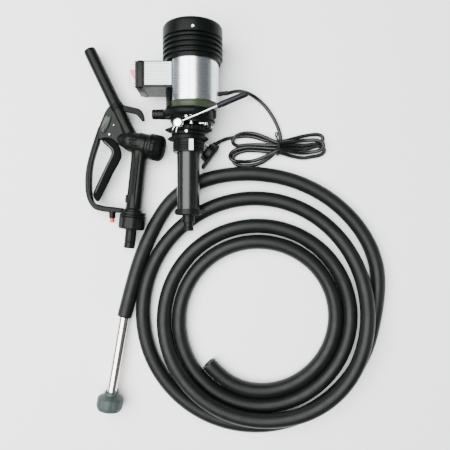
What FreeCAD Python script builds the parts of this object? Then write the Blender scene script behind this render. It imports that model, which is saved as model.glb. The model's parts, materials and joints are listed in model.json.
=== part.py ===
import FreeCAD, Part
import Sketcher
import math
import os
import re

V = FreeCAD.Vector
X_AXIS = V(1, 0, 0)
Y_AXIS = V(0, 1, 0)
Z_AXIS = V(0, 0, 1)

doc = FreeCAD.newDocument("transfer_pump")

# ---------------------------------------------------------------- driving dimensions (mm)
# The kit lies flat on its back. Stations run along +Y, heights along +Z. The layout frame has
# its zero at the middle of the kit's old drawing; frame_x and frame_y move it to the origin.
DIMENSIONS = [
    ("frame_x", -108.84, "layout X of the part's origin"),
    ("frame_y", 1.53, "layout Y of the part's origin"),
    ("motor_x", -57.1, "layout X of the motor axis"),
    ("tube_x", -64.8, "layout X of the riser tube axis"),
    ("axis_z", 53.0, "height of the pump axis"),
    ("cowl_rad", 53.0, "cowl, outside"),
    ("cowl_valley", 49.0, "cowl, between the fins"),
    ("cowl_bore", 45.5, "cowl, inside"),
    ("cowl_foot", 283.0, "cowl, lower station"),
    ("cowl_band", 323.0, "cowl, start of the plain band"),
    ("cowl_top", 345.0, "cowl, upper station"),
    ("cowl_skin", 4.0, "cowl, end wall"),
    ("fin_first", 292.6, "station of the lowest fin"),
    ("fin_pitch", 8.7, "fin spacing"),
    ("fin_half", 2.3, "half of a fin's width"),
    ("barrel_rad", 45.5, "motor barrel, outside"),
    ("barrel_bore", 43.0, "motor barrel, inside"),
    ("barrel_top", 288.0, "motor barrel, upper station"),
    ("wrap_thick", 0.5, "wrap plate"),
    ("wrap_top", 283.0, "wrap plate, upper station"),
    ("flange_top", 212.0, "motor flange, upper station"),
    ("flange_low", 205.0, "motor flange, lower station"),
    ("flange_rad", 45.0, "motor flange"),
    ("flange_edge", 41.5, "motor flange, lower edge of its taper"),
    ("bearing_rad", 12.0, "bearing, outside (6901: 12 x 24 x 6)"),
    ("bearing_wide", 6.0, "bearing width"),
    ("shaft_rad", 6.0, "motor shaft"),
    ("shaft_top", 326.0, "motor shaft, upper station"),
    ("shaft_low", 183.0, "motor shaft, lower station"),
    ("shield_low", 275.0, "rear shield, lower station"),
    ("shield_top", 284.0, "rear shield, upper station"),
    ("core_rad", 25.0, "rotor core"),
    ("core_low", 222.0, "laminations, lower station"),
    ("core_top", 264.0, "laminations, upper station"),
    ("stator_bore", 25.5, "stator bore"),
    ("winding_bore", 29.0, "winding overhang, inside"),
    ("winding_rad", 40.0, "winding overhang, outside"),
    ("winding_out", 7.0, "winding overhang, length"),
    ("fan_rad", 41.0, "cooling fan"),
    ("fan_low", 292.0, "cooling fan, lower station"),
    ("fan_top", 320.0, "cooling fan, upper station"),
    ("housing_rad", 38.0, "pump housing"),
    ("housing_low", 181.0, "pump housing, lower station"),
    ("chamber_rad", 29.5, "pump chamber"),
    ("chamber_top", 198.0, "pump chamber, upper station"),
    ("seal_rad", 11.0, "shaft seal"),
    ("impeller_rad", 28.0, "impeller"),
    ("impeller_low", 184.0, "impeller, lower station"),
    ("impeller_top", 196.0, "impeller, upper station"),
    ("port_y", 195.6, "outlet barb, station of its axis"),
    ("barb_rad", 9.1, "outlet barb"),
    ("barb_bore", 6.0, "outlet barb, bore"),
    ("barb_root", 9.35, "outlet barb, thicker root"),
    ("barb_free", 25.2, "outlet barb, length beyond its thicker root"),
    ("barb_end", -128.7, "outlet barb, layout X of its free end"),
    ("spigot_rad", 7.5, "outlet barb, spigot in the housing"),
    ("cover_rad", 37.0, "pump cover"),
    ("cover_low", 176.0, "pump cover, lower station"),
    ("bolt_circle", 34.0, "cover screws, circle radius"),
    ("bolt_head", 3.0, "cover screws, head radius"),
    ("bolt_high", 4.5, "cover screws, head height"),
    ("neck_rad", 27.0, "neck"),
    ("neck_low", 148.5, "neck, lower station"),
    ("neck_root", 22.0, "neck, where it meets the pump cover"),
    ("shoulder_low", 157.0, "neck's shoulder, lower station"),
    ("shoulder_rad", 30.0, "neck's shoulder"),
    ("collar_nut_low", 163.0, "winged coupling ring, lower station"),
    ("collar_nut_top", 171.0, "winged coupling ring, upper station"),
    ("collar_nut_rad", 33.0, "winged coupling ring"),
    ("wing_reach", 42.0, "winged coupling ring, tip of a wing"),
    ("run_fit", 0.05, "radial clearance of a running fit"),
    ("lug_ring_rad", 31.0, "lower winged ring"),
    ("lug_ring_low", 148.5, "lower winged ring, lower station"),
    ("lug_ring_top", 155.0, "lower winged ring, upper station"),
    ("lug_reach", 37.0, "lower winged ring, tip of a wing"),
    ("bung_rad", 28.0, "bung collar, thread crests (S56)"),
    ("bung_root", 26.4, "bung collar, thread roots"),
    ("bung_low", 128.0, "bung collar, lower station"),
    ("bung_top", 148.0, "bung collar, upper station"),
    ("plate_low_x", -61.6, "collar's small plate, layout X of its left edge"),
    ("plate_high_x", -54.0, "collar's small plate, layout X of its right edge"),
    ("tube_rad", 20.0, "riser tube, outside"),
    ("tube_bore", 17.0, "riser tube, inside"),
    ("tube_low", 21.0, "riser tube, lower station"),
    ("cap_rad", 22.5, "tube end cap"),
    ("cap_top", 28.0, "tube end cap, upper station"),
    ("cap_low", 17.5, "tube end cap, lower station"),
    ("nipple_rad", 9.0, "inlet nipple"),
    ("nipple_bore", 6.0, "inlet nipple, bore"),
    ("nipple_low", -10.4, "inlet nipple, lower station"),
    ("box_x", -140.0, "switch box, layout X of its outer side"),
    ("box_low_y", 234.5, "switch box, lower station"),
    ("box_top_y", 279.5, "switch box, upper station"),
    ("box_floor_z", 24.0, "switch box, underside"),
    ("box_roof_z", 85.0, "switch box, top"),
    ("box_skin", 2.5, "switch box, wall"),
    ("switch_y", 261.0, "switch, station of its middle"),
    ("switch_z", 54.5, "switch, height of its middle"),
    ("lid_thick", 13.5, "switch box lid, thickness"),
    ("lid_lip", 1.5, "switch box lid, overhang on each side"),
    ("trunnion_rad", 1.3, "switch rocker, pivot pin"),
    ("lever_x", -78.5, "lever pivot, layout X"),
    ("lever_y", 172.6, "lever pivot, station"),
    ("lever_z", 94.0, "height of the lever rod"),
    ("lever_angle", 22.8, "lever at rest, degrees from +X"),
    ("lever_length", 127.0, "lever, pivot to tip"),
    ("grip_start", 71.0, "lever grip, distance of its near end from the pivot"),
    ("grip_rad", 5.2, "lever grip"),
    ("rod_rad", 1.75, "lever rod"),
    ("boss_rad", 8.5, "lever boss"),
    ("nozzle_z", 24.3, "height of the nozzle's middle plane"),
    ("handle_rad", 14.2, "nozzle handle"),
    ("spigot_thread", 16.92, "nozzle handle, spigot inside the union nut"),
    ("handle_angle", 6.2, "nozzle handle, lean in degrees"),
    ("handle_foot_x", -168.4, "nozzle handle, layout X of its lower end"),
    ("handle_foot_y", 23.8, "nozzle handle, layout Y of its lower end"),
    ("handle_long", 118.0, "nozzle handle, length to the valve chamber"),
    ("spout_rad", 11.25, "spout, outside"),
    ("spout_bore", 9.0, "spout, bore"),
    ("spout_root", 11.6, "spout, thicker root that carries the hook"),
    ("spout_step", 60.0, "spout, length of the thicker root"),
    ("spout_angle", 25.5, "spout, lean in degrees"),
    ("spout_x", -177.5, "spout, layout X of its root"),
    ("spout_y", 172.0, "spout, layout Y of its root"),
    ("spout_long", 163.9, "spout, free length"),
    ("chamber_x", -176.5, "valve chamber, layout X of its middle"),
    ("chamber_y", 153.2, "valve chamber, layout Y of its middle"),
    ("cap_angle", -13.0, "valve chamber, direction of its axis in degrees"),
    ("valve_cap_rad", 24.0, "valve cap"),
    ("chamber_wall_rad", 20.5, "valve chamber, outside"),
    ("chamber_hole_rad", 15.0, "valve chamber, bore"),
    ("nut_rad", 24.0, "union nut"),
    ("nut_long", 32.0, "union nut, length"),
    ("tail_rad", 10.0, "nozzle hose tail"),
    ("tail_bore", 7.0, "nozzle hose tail, bore"),
    ("tail_root", 10.4, "nozzle hose tail, where it passes through the nut"),
    ("tail_long", 34.5, "nozzle hose tail, free length"),
    ("guard_wide", 11.5, "trigger guard, width in its plane"),
    ("guard_thick", 13.0, "trigger guard, thickness"),
    ("trigger_wide", 14.0, "trigger, width in its plane"),
    ("trigger_thick", 9.0, "trigger, thickness"),
    ("web_thick", 20.0, "web that carries the trigger"),
    ("latch_x", -206.5, "latch button, layout X"),
    ("hose_rad", 13.5, "suction hose, outside"),
    ("coil_x", 60.0, "hose coil, layout X of its centre"),
    ("coil_y", -168.0, "hose coil, layout Y of its centre"),
    ("coil_inner", 128.0, "hose coil, inside radius"),
    ("coil_outer", 228.0, "hose coil, outside radius"),
    ("coil_crest", 196.0, "hose coil, radius of the turn that rides on another"),
    ("coil_crest_z", 36.0, "hose coil, height of that turn's middle"),
    ("steel_rad", 8.8, "suction tube, outside"),
    ("steel_bore", 7.6, "suction tube, bore"),
    ("steel_x", -186.5, "suction tube, layout X of its hose end"),
    ("steel_y", -170.0, "suction tube, layout Y of its hose end"),
    ("steel_long", 144.0, "suction tube, length outside the hose"),
    ("foot_rad", 24.1, "strainer foot"),
    ("foot_long", 33.0, "strainer foot, length"),
    ("cord_rad", 3.4, "mains lead"),
    ("hank_thick", 13.6, "hank of the mains lead, thickness"),
    ("plug_rad", 18.0, "plug front"),
    ("plug_deep", 13.0, "plug front, depth"),
    ("plug_shift", 6.0, "plug front, offset along its back towards the cord"),
    ("plug_z", 18.0, "height of the plug's axis"),
]

sheet = doc.addObject("Spreadsheet::Sheet", "dims")
for row, (alias, value, meaning) in enumerate(DIMENSIONS, 1):
    sheet.set(f"A{row}", meaning)
    sheet.set(f"B{row}", str(value))
    sheet.setAlias(f"B{row}", alias)
doc.recompute()
ALIASES = {alias for alias, _value, _meaning in DIMENSIONS}
SHIFT = V(-sheet.get("frame_x"), -sheet.get("frame_y"), 0)
NODES = []


# ---------------------------------------------------------------- helpers
def dim(alias):
    return float(sheet.get(alias))


def formula(text):
    """The text with each alias written as the sheet's cell."""
    return re.sub(r"[a-z_]+", lambda word: "dims." + word[0] if word[0] in ALIASES else word[0],
                  str(text))


def number(text):
    return float(sheet.evalExpression(formula(text)))


def direction(degrees):
    """Unit vector in the floor plane, degrees from +X."""
    angle = math.radians(degrees)
    return V(math.cos(angle), math.sin(angle), 0)


def facing(origin, along, roll=0.0):
    """Placement that puts the local +Y axis along a direction."""
    turn = FreeCAD.Rotation(Y_AXIS, along)
    return FreeCAD.Placement(V(*origin), turn.multiply(FreeCAD.Rotation(Y_AXIS, roll)))


def node(item, label):
    """Name a finished sub-part and move it from the layout frame to the part's frame."""
    item.Label = label
    doc.recompute()
    item.Placement = FreeCAD.Placement(SHIFT, FreeCAD.Rotation()).multiply(item.Placement)
    NODES.append(item)
    return item


def origin_plane(body, role):
    return [plane for plane in body.Origin.OriginFeatures if plane.Role == role][0]


def outline_sketch(body, name, points):
    """Closed outline on the body's XY plane; every corner is bound to the sheet."""
    sketch = body.newObject("Sketcher::SketchObject", name)
    sketch.AttachmentSupport = [(origin_plane(body, "XY_Plane"), "")]
    sketch.MapMode = "FlatFace"
    corners = [V(number(x), number(y), 0) for x, y in points]
    count = len(corners)
    for index in range(count):
        sketch.addGeometry(Part.LineSegment(corners[index], corners[(index + 1) % count]))
    for index in range(count):
        sketch.addConstraint(Sketcher.Constraint("Coincident", index, 2, (index + 1) % count, 1))
    for index, (x, y) in enumerate(points):
        for kind, text, value in (("DistanceX", x, corners[index].x),
                                  ("DistanceY", y, corners[index].y)):
            if abs(value) < 1e-9:
                other_axis = -2 if kind == "DistanceX" else -1
                sketch.addConstraint(Sketcher.Constraint("PointOnObject", index, 1, other_axis))
                continue
            spot = sketch.addConstraint(Sketcher.Constraint(kind, -1, 1, index, 1, value))
            if ALIASES & set(re.findall(r"[a-z_]+", str(text))):
                sketch.setExpression(f"Constraints[{spot}]", formula(text))
    return sketch


def turned(name, profile, placement):
    """Solid of revolution about the local Y axis; the profile is (radius, station) pairs."""
    body = doc.addObject("PartDesign::Body", name)
    sketch = outline_sketch(body, name + "_profile", profile)
    revolution = body.newObject("PartDesign::Revolution", name + "_turning")
    revolution.Profile = sketch
    revolution.ReferenceAxis = (sketch, ["V_Axis"])
    revolution.Angle = 360
    body.Placement = placement
    return body


def plate(name, points, thickness, placement):
    """Flat piece: an outline in the local XY plane, padded towards +Z."""
    body = doc.addObject("PartDesign::Body", name)
    sketch = outline_sketch(body, name + "_outline", points)
    pad = body.newObject("PartDesign::Pad", name + "_pad")
    pad.Profile = sketch
    pad.Length = number(thickness)
    if ALIASES & set(re.findall(r"[a-z_]+", str(thickness))):
        pad.setExpression("Length", formula(thickness))
    body.Placement = placement
    return body


def ring(outer, inner, low, high):
    return [(inner, low), (outer, low), (outer, high), (inner, high)]


def cylinder(name, radius, height, placement):
    """Cylinder along the placement's local Y axis."""
    item = doc.addObject("Part::Cylinder", name)
    for prop, text in (("Radius", radius), ("Height", height)):
        setattr(item, prop, number(text))
        if ALIASES & set(re.findall(r"[a-z_]+", str(text))):
            item.setExpression(prop, formula(text))
    item.Placement = placement.multiply(FreeCAD.Placement(V(), FreeCAD.Rotation(X_AXIS, -90)))
    return item


def block(name, low, high):
    """Box between two corners; each corner is three formulas."""
    item = doc.addObject("Part::Box", name)
    for prop, start, end in zip(("Length", "Width", "Height"), low, high):
        size = f"({end}) - ({start})"
        setattr(item, prop, number(size))
        if ALIASES & set(re.findall(r"[a-z_]+", size)):
            item.setExpression(prop, formula(size))
    item.Placement = FreeCAD.Placement(V(*[number(text) for text in low]), FreeCAD.Rotation())
    return item


def joined(name, items):
    fuse = doc.addObject("Part::MultiFuse", name)
    fuse.Shapes = items
    return fuse


def without(name, base, tools):
    tool = tools[0] if len(tools) == 1 else joined(name + "_tools", tools)
    cut = doc.addObject("Part::Cut", name)
    cut.Base = base
    cut.Tool = tool
    return cut


def group(name, items):
    compound = doc.addObject("Part::Compound", name)
    compound.Links = items
    return compound


def solid(name, shape):
    feature = doc.addObject("Part::Feature", name)
    feature.Shape = shape
    return feature


def route_wire(points, radii=None):
    """Straight runs joined by tangent arcs, and the arcs' radii."""
    points = [V(*point) for point in points]
    edges = []
    arc_radii = []
    last = points[0]
    for index in range(1, len(points) - 1):
        before, corner, after = points[index - 1], points[index], points[index + 1]
        run_in = corner - before
        run_out = after - corner
        turn = run_in.getAngle(run_out)
        reach = 0.45 * min(run_in.Length, run_out.Length)
        radius = reach / math.tan(turn / 2)
        if radii and radii[index - 1]:
            radius = radii[index - 1]
            reach = radius * math.tan(turn / 2)
        unit_in = run_in.normalize()
        unit_out = run_out.normalize()
        start = corner - unit_in * reach
        end = corner + unit_out * reach
        bisector = (unit_out - unit_in).normalize()
        centre = corner + bisector * (radius / math.cos(turn / 2))
        middle = centre - bisector * radius
        edges.append(Part.LineSegment(last, start).toShape())
        edges.append(Part.Arc(start, middle, end).toShape())
        arc_radii.append(radius)
        last = end
    edges.append(Part.LineSegment(last, points[-1]).toShape())
    return Part.Wire(edges), arc_radii


def round_tube(label, points, radius, radii=None, report=False):
    """Round bar along a route; prints the arcs' radii and checks the volume."""
    wire, arc_radii = route_wire(points, radii)
    first = wire.Edges[0]
    start = first.valueAt(first.FirstParameter)
    heading = first.tangentAt(first.FirstParameter)
    section = Part.Wire([Part.Circle(start, heading, radius).toShape()])
    bar = wire.makePipeShell([section], True, False)
    expected = math.pi * radius ** 2 * wire.Length
    if report:
        shown = " ".join(f"{value:.0f}" for value in arc_radii)
        print(f"{label}: length {wire.Length:.1f}, radii {shown}, "
              f"volume {bar.Volume / expected:.4f} of section x length")
    if bar.Volume < 0:
        bar = bar.reversed()
    return bar


def flat_band(points, width, thickness, radii=None):
    """Rectangular bar along a route in the floor plane."""
    wire, _radii = route_wire(points, radii)
    first = wire.Edges[0]
    start = first.valueAt(first.FirstParameter)
    heading = first.tangentAt(first.FirstParameter)
    side = heading.cross(Z_AXIS).normalize() * (width / 2)
    rise = Z_AXIS * (thickness / 2)
    corners = [start + side + rise, start - side + rise, start - side - rise, start + side - rise]
    section = Part.makePolygon(corners + corners[:1])
    return wire.makePipeShell([section], True, False)


# ---------------------------------------------------------------- motor
motor = facing((dim("motor_x"), 0, dim("axis_z")), Y_AXIS)
riser = facing((dim("tube_x"), 0, dim("axis_z")), Y_AXIS)


def motor_cowl():
    outline = [("cowl_bore", "cowl_foot"), ("cowl_valley", "cowl_foot")]
    for index in range(4):
        crest = f"fin_first + {index} * fin_pitch"
        outline += [("cowl_valley", f"{crest} - fin_half - 0.6"),
                    ("cowl_rad", f"{crest} - fin_half"),
                    ("cowl_rad", f"{crest} + fin_half"),
                    ("cowl_valley", f"{crest} + fin_half + 0.6")]
    outline += [("cowl_valley + 1", "cowl_band"), ("cowl_rad", "cowl_band + 0.8"),
                ("cowl_rad", "cowl_top - 4"), ("cowl_rad - 1.2", "cowl_top - 1.2"),
                ("cowl_rad - 4", "cowl_top"), (0, "cowl_top"), (0, "cowl_top - cowl_skin"),
                ("cowl_bore", "cowl_top - cowl_skin")]
    node(turned("motor_cowl", outline, motor), "motor_cowl")


def motor_case():
    node(turned("motor_barrel", ring("barrel_rad", "barrel_bore", "flange_top", "barrel_top"),
                motor), "motor_barrel")
    skin = ring("barrel_rad + wrap_thick", "barrel_rad", "flange_top", "wrap_top")
    sleeve = turned("wrap_sleeve", skin, motor)
    saddle = block("wrap_gap", ("motor_x - 60", "flange_top - 5", "axis_z - 60"),
                   ("motor_x - 31.5", "wrap_top + 5", "box_roof_z + 1"))
    under = block("wrap_under", ("motor_x - 35", "flange_top - 5", "axis_z - 60"),
                  ("motor_x + 25", "wrap_top + 5", "axis_z - 30"))
    node(without("wrap_plate", sleeve, [saddle, under]), "wrap_plate")
    flange = [("bearing_rad", "flange_low"), ("flange_edge", "flange_low"),
              ("flange_rad", "flange_low + 2.5"), ("flange_rad", "flange_top"),
              ("bearing_rad", "flange_top")]
    node(turned("motor_flange", flange, motor), "motor_flange")
    shield = [("bearing_rad", "shield_low"), ("barrel_bore", "shield_low + 5"),
              ("barrel_bore", "shield_top"), ("bearing_rad", "shield_top")]
    node(turned("rear_shield", shield, motor), "rear_shield")


def motor_insides():
    seats = ("flange_low + 0.5", "shield_low + 1.5")
    races = []
    for index, seat in enumerate(seats):
        races.append(turned(f"bearing_{index}",
                            ring("bearing_rad", "shaft_rad + run_fit", seat,
                                 f"{seat} + bearing_wide"), motor))
    node(group("shaft_bearings", races), "shaft_bearings")
    node(turned("stator_core", ring("barrel_bore", "stator_bore", "core_low", "core_top"),
                motor), "stator_core")
    ends = [("core_low - winding_out", "core_low"), ("core_top", "core_top + winding_out")]
    coils = [turned(f"winding_{index}", ring("winding_rad", "winding_bore", low, high), motor)
             for index, (low, high) in enumerate(ends)]
    node(group("stator_windings", coils), "stator_windings")
    node(turned("rotor_core", ring("core_rad", "shaft_rad", "core_low", "core_top"), motor),
         "rotor_core")
    shaft = [(0, "shaft_low"), ("shaft_rad", "shaft_low"), ("shaft_rad", "shaft_top"),
             (0, "shaft_top")]
    node(turned("motor_shaft", shaft, motor), "motor_shaft")
    wheel = [("shaft_rad", "fan_low"), ("fan_rad", "fan_low"), ("fan_rad", "fan_low + 2.5"),
             ("shaft_rad + 6", "fan_low + 3"), ("shaft_rad + 6", "fan_top"),
             ("shaft_rad", "fan_top")]
    blades = [turned("fan_disc", wheel, motor)]
    for index in range(7):
        blade = block(f"fan_blade_{index}", ("shaft_rad + 5", "fan_low + 2", "-1"),
                      ("fan_rad - 1", "fan_top - 2", "1"))
        spin = FreeCAD.Rotation(Y_AXIS, index * 360 / 7)
        blade.Placement = motor.multiply(FreeCAD.Placement(V(), spin)).multiply(blade.Placement)
        blades.append(blade)
    node(joined("cooling_fan", blades), "cooling_fan")


# ---------------------------------------------------------------- pump head
def pump_head():
    shell = [("seal_rad", "chamber_top"), ("chamber_rad", "chamber_top"),
             ("chamber_rad", "housing_low"), ("housing_rad", "housing_low"),
             ("housing_rad", "flange_low - 1.5"), ("housing_rad - 1.5", "flange_low"),
             ("seal_rad", "flange_low")]
    shell_body = turned("housing_shell", shell, motor)
    lobe = cylinder("housing_lobe", "10.5", "13",
                    facing((dim("motor_x") + 31.5, 189, dim("axis_z")), Y_AXIS))
    chamber = cylinder("housing_chamber", "chamber_rad", "chamber_top - housing_low + 1",
                       facing((dim("motor_x"), dim("housing_low") - 1, dim("axis_z")), Y_AXIS))
    port = cylinder("housing_port", "spigot_rad", "20",
                    facing((dim("motor_x") - 45, dim("port_y"), dim("axis_z")), X_AXIS))
    with_lobe = joined("housing_with_lobe", [shell_body, lobe])
    node(without("pump_housing", with_lobe, [chamber, port]), "pump_housing")

    # The barb's local Y axis runs from the housing to its free end, towards -X.
    shoulder = dim("motor_x") - dim("housing_rad") - 0.4 - dim("barb_end")
    reach = "motor_x - housing_rad - 0.4 - barb_end"
    barb = [("barb_bore", "-8"), ("spigot_rad", "-8"), ("spigot_rad", 0), ("barb_root", 0),
            ("barb_root", f"{reach} - barb_free"), ("barb_rad", f"{reach} - barb_free"),
            ("barb_rad", f"{reach} - 16")]
    for index in range(3):
        foot = f"{reach} - {16 - 5 * index}"
        barb += [("barb_rad - 0.9", foot), ("barb_rad", f"{foot} + 0.6")]
        barb += [("barb_rad - 0.6", f"{foot} + 5")]
    barb += [("barb_rad - 1.6", reach), ("barb_bore", reach)]
    start = (dim("barb_end") + shoulder, dim("port_y"), dim("axis_z"))
    node(turned("outlet_barb", barb, facing(start, X_AXIS * -1)), "outlet_barb")

    lip = turned("shaft_seal", ring("seal_rad", "shaft_rad + run_fit", "chamber_top + 0.5",
                                    "flange_low - 1"), motor)
    gasket = turned("cover_gasket", ring("31.4", "30.2", "housing_low - 1.2", "housing_low"),
                    motor)
    node(group("pump_seals", [lip, gasket]), "pump_seals")
    hub = [("shaft_rad", "impeller_low"), ("impeller_rad", "impeller_low"),
           ("impeller_rad", "impeller_low + 2.5"), ("shaft_rad + 5", "impeller_low + 3"),
           ("shaft_rad + 5", "impeller_top"), ("shaft_rad", "impeller_top")]
    vanes = [turned("impeller_disc", hub, motor)]
    for index in range(6):
        vane = block(f"vane_{index}", ("shaft_rad + 4", "impeller_low + 2", "-1.2"),
                     ("impeller_rad - 0.5", "impeller_top - 0.5", "1.2"))
        spin = FreeCAD.Rotation(Y_AXIS, index * 60)
        vane.Placement = motor.multiply(FreeCAD.Placement(V(), spin)).multiply(vane.Placement)
        vanes.append(vane)
    node(joined("impeller", vanes), "impeller")

    cover_disc = turned("cover_disc", [(0, "cover_low"), ("cover_rad", "cover_low"),
                                       ("cover_rad", "housing_low"), (0, "housing_low")], motor)
    groove = turned("seal_groove", ring("31.4", "30.2", "housing_low - 1.2", "housing_low + 1"),
                    motor)
    inlet = cylinder("cover_inlet", "tube_bore", "30",
                     facing((dim("tube_x"), 160, dim("axis_z")), Y_AXIS))
    screw_holes = bolt_set("cover_hole", "1.5", "cover_low - 1", "10")
    node(without("pump_cover", cover_disc, [groove, inlet] + screw_holes), "pump_cover")
    heads = bolt_set("bolt_head", "bolt_head", "cover_low - bolt_high", "bolt_high")
    stems = bolt_set("bolt_stem", "1.5", "cover_low - 1", "6")
    screws = [joined(f"cover_screw_{index}", list(pair))
              for index, pair in enumerate(zip(heads, stems))]
    node(group("cover_screws", screws), "cover_screws")


def bolt_set(name, radius, low, length):
    """Eight cylinders on the cover's bolt circle."""
    items = []
    for index in range(8):
        angle = math.radians(45 * index)
        centre = (dim("motor_x") + dim("bolt_circle") * math.cos(angle), number(low),
                  dim("axis_z") + dim("bolt_circle") * math.sin(angle))
        items.append(cylinder(f"{name}_{index}", radius, length, facing(centre, Y_AXIS)))
    return items


def wing(name, side, root, tip, low, high, half):
    """Tapered wing in the plane across the riser axis, on one side of a ring."""
    points = [(root, f"-({half})"), (tip, f"-({half}) * 0.35"), (tip, f"({half}) * 0.35"),
              (root, half)]
    turn = FreeCAD.Rotation(X_AXIS, -90)
    spin = FreeCAD.Rotation(Y_AXIS, 0 if side > 0 else 180)
    base = FreeCAD.Placement(V(dim("tube_x"), number(low), dim("axis_z")), spin.multiply(turn))
    return plate(name, points, f"({high}) - ({low})", base)


def neck_and_rings():
    neck = [("tube_rad", "neck_low"), ("lug_ring_rad", "neck_low"),
            ("lug_ring_rad", "lug_ring_top"), ("neck_rad", "lug_ring_top"),
            ("neck_rad", "shoulder_low"), ("shoulder_rad", "shoulder_low"),
            ("shoulder_rad", "collar_nut_low - 0.4"), ("neck_rad", "collar_nut_low - 0.4"),
            ("neck_rad", "collar_nut_top + 0.5"), ("neck_root", "collar_nut_top + 0.5"),
            ("neck_root", "cover_low"), ("tube_rad", "cover_low")]
    lugs = [wing(f"lug_wing_{side}", side, "lug_ring_rad - 2", "lug_reach",
                 "lug_ring_low + 1", "lug_ring_top - 1", "6") for side in (1, -1)]
    node(joined("pump_neck", [turned("neck_barrel", neck, riser)] + lugs), "pump_neck")
    band = turned("coupling_band", ring("collar_nut_rad", "neck_rad + run_fit",
                                        "collar_nut_low", "collar_nut_top"), riser)
    wings = [wing(f"coupling_wing_{side}", side, "collar_nut_rad - 2", "wing_reach",
                  "collar_nut_low + 1", "collar_nut_top - 1", "8") for side in (1, -1)]
    node(joined("coupling_ring", [band] + wings), "coupling_ring")


def bung_and_tube():
    thread = [("tube_rad + run_fit", "bung_low"), ("bung_root", "bung_low")]
    for index in range(4):
        foot = f"bung_low + 1.5 + {4 * index}"
        thread += [("bung_root", foot), ("bung_rad", f"{foot} + 1.2"),
                   ("bung_rad", f"{foot} + 2.0"), ("bung_root", f"{foot} + 3.2")]
    thread += [("bung_root", "bung_top - 1.5"), ("bung_rad", "bung_top - 1.2"),
               ("bung_rad", "bung_top"), ("tube_rad + run_fit", "bung_top")]
    thread_body = turned("bung_thread", thread, riser)
    seat = block("plate_seat", ("plate_low_x - 0.3", "bung_low - 1", "axis_z + bung_root - 1.2"),
                 ("plate_high_x + 0.3", "bung_top + 1", "axis_z + bung_rad + 2"))
    node(without("bung_collar", thread_body, [seat]), "bung_collar")
    node(block("collar_plate", ("plate_low_x", "bung_low + 0.5", "axis_z + bung_root - 1.2"),
               ("plate_high_x", "bung_top - 0.5", "axis_z + bung_rad - 0.4")), "collar_plate")
    node(turned("riser_tube", ring("tube_rad", "tube_bore", "tube_low", "cover_low"), riser),
         "riser_tube")
    cap = [("nipple_rad", "cap_low"), ("cap_rad - 1.5", "cap_low"), ("cap_rad", "cap_low + 1.5"),
           ("cap_rad", "cap_top"), ("tube_rad", "cap_top"), ("tube_rad", "tube_low"),
           ("nipple_rad", "tube_low")]
    lugs = [block(f"cap_lug_{side}", (f"tube_x + {side} * 22 - 2", "cap_low + 1.5", "axis_z - 4"),
                  (f"tube_x + {side} * 22 + 2", "cap_top - 2", "axis_z + 4"))
            for side in (1, -1)]
    node(joined("tube_end_cap", [turned("cap_shell", cap, riser)] + lugs), "tube_end_cap")
    nipple = [("nipple_bore", "nipple_low"), ("nipple_rad - 0.8", "nipple_low"),
              ("nipple_rad", "nipple_low + 1"), ("nipple_rad", "nipple_low + 6"),
              ("nipple_rad - 1", "nipple_low + 7"), ("nipple_rad - 1", "nipple_low + 14"),
              ("nipple_rad + 2", "nipple_low + 15"), ("nipple_rad + 2", "cap_low"),
              ("nipple_rad", "cap_low"), ("nipple_rad", "tube_low"), ("nipple_bore", "tube_low")]
    node(turned("inlet_nipple", nipple, riser), "inlet_nipple")


# ---------------------------------------------------------------- lever on the pump head
def flow_lever():
    floor_z = 78
    bracket = block("bracket_block", ("lever_x - 9.5", "lever_y + 1", str(floor_z)),
                    ("lever_x + 9.5", "lever_y + 24", "lever_z - 4.5"))
    head = cylinder("bracket_head", "9", "6",
                    facing((dim("lever_x"), dim("lever_y"), dim("lever_z") - 10.5), Z_AXIS))
    around = cylinder("bracket_clearance", "housing_rad", "24",
                      facing((dim("motor_x"), dim("housing_low"), dim("axis_z")), Y_AXIS))
    below = cylinder("bracket_relief", "cover_rad + 0.4", "31",
                     facing((dim("motor_x"), 150, dim("axis_z")), Y_AXIS))
    sweep_room = cylinder("bracket_wing_room", "wing_reach + 0.8", "9.5",
                          facing((dim("tube_x"), 162, dim("axis_z")), Y_AXIS))
    hole = cylinder("bracket_hole", "3 + run_fit", "20",
                    facing((dim("lever_x"), dim("lever_y"), 76), Z_AXIS))
    post = joined("bracket_post", [bracket, head])
    node(without("lever_bracket", post, [around, below, sweep_room, hole]), "lever_bracket")


def lever_parts():
    pivot = (dim("lever_x"), dim("lever_y"), 0)
    along = direction(dim("lever_angle"))
    centre = V(pivot[0], pivot[1], dim("lever_z"))
    pin = cylinder("lever_pin", "3", "lever_z - 84", facing((pivot[0], pivot[1], 84), Z_AXIS))
    disc = [(0, 0), ("boss_rad - 0.8", 0), ("boss_rad", 0.8), ("boss_rad", 5.2),
            ("boss_rad - 2.2", 7.4), (0, 7.6)]
    dome = turned("boss_dome", disc, facing((pivot[0], pivot[1], dim("lever_z") - 4.3), Z_AXIS))
    fork = []
    for index, (start, end) in enumerate((((-6, -5), (-10, -13)), ((-1.5, -7), (-4, -16)))):
        first = centre + V(start[0], start[1], -0.6)
        last = centre + V(end[0], end[1], -0.6)
        step = last - first
        fork.append(cylinder(f"fork_{index}", "1.3", str(round(step.Length, 3)),
                             facing(tuple(first), step.normalize())))
    node(joined("lever_boss", [dome, pin] + fork), "lever_boss")
    rod_start = centre + along * (dim("boss_rad") - 0.02)
    node(cylinder("lever_rod", "rod_rad", "lever_length - boss_rad - 3",
                  facing(tuple(rod_start), along)), "lever_rod")
    long = "lever_length - grip_start"
    sleeve = [("rod_rad", 0), ("grip_rad - 1.2", 0), ("grip_rad", 2), ("grip_rad", f"{long} - 2"),
              ("grip_rad - 2", long), (0, long), (0, f"{long} - 3.02"),
              ("rod_rad", f"{long} - 3.02")]
    grip_spot = centre + along * dim("grip_start")
    node(turned("lever_grip", sleeve, facing(tuple(grip_spot), along)), "lever_grip")


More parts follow.
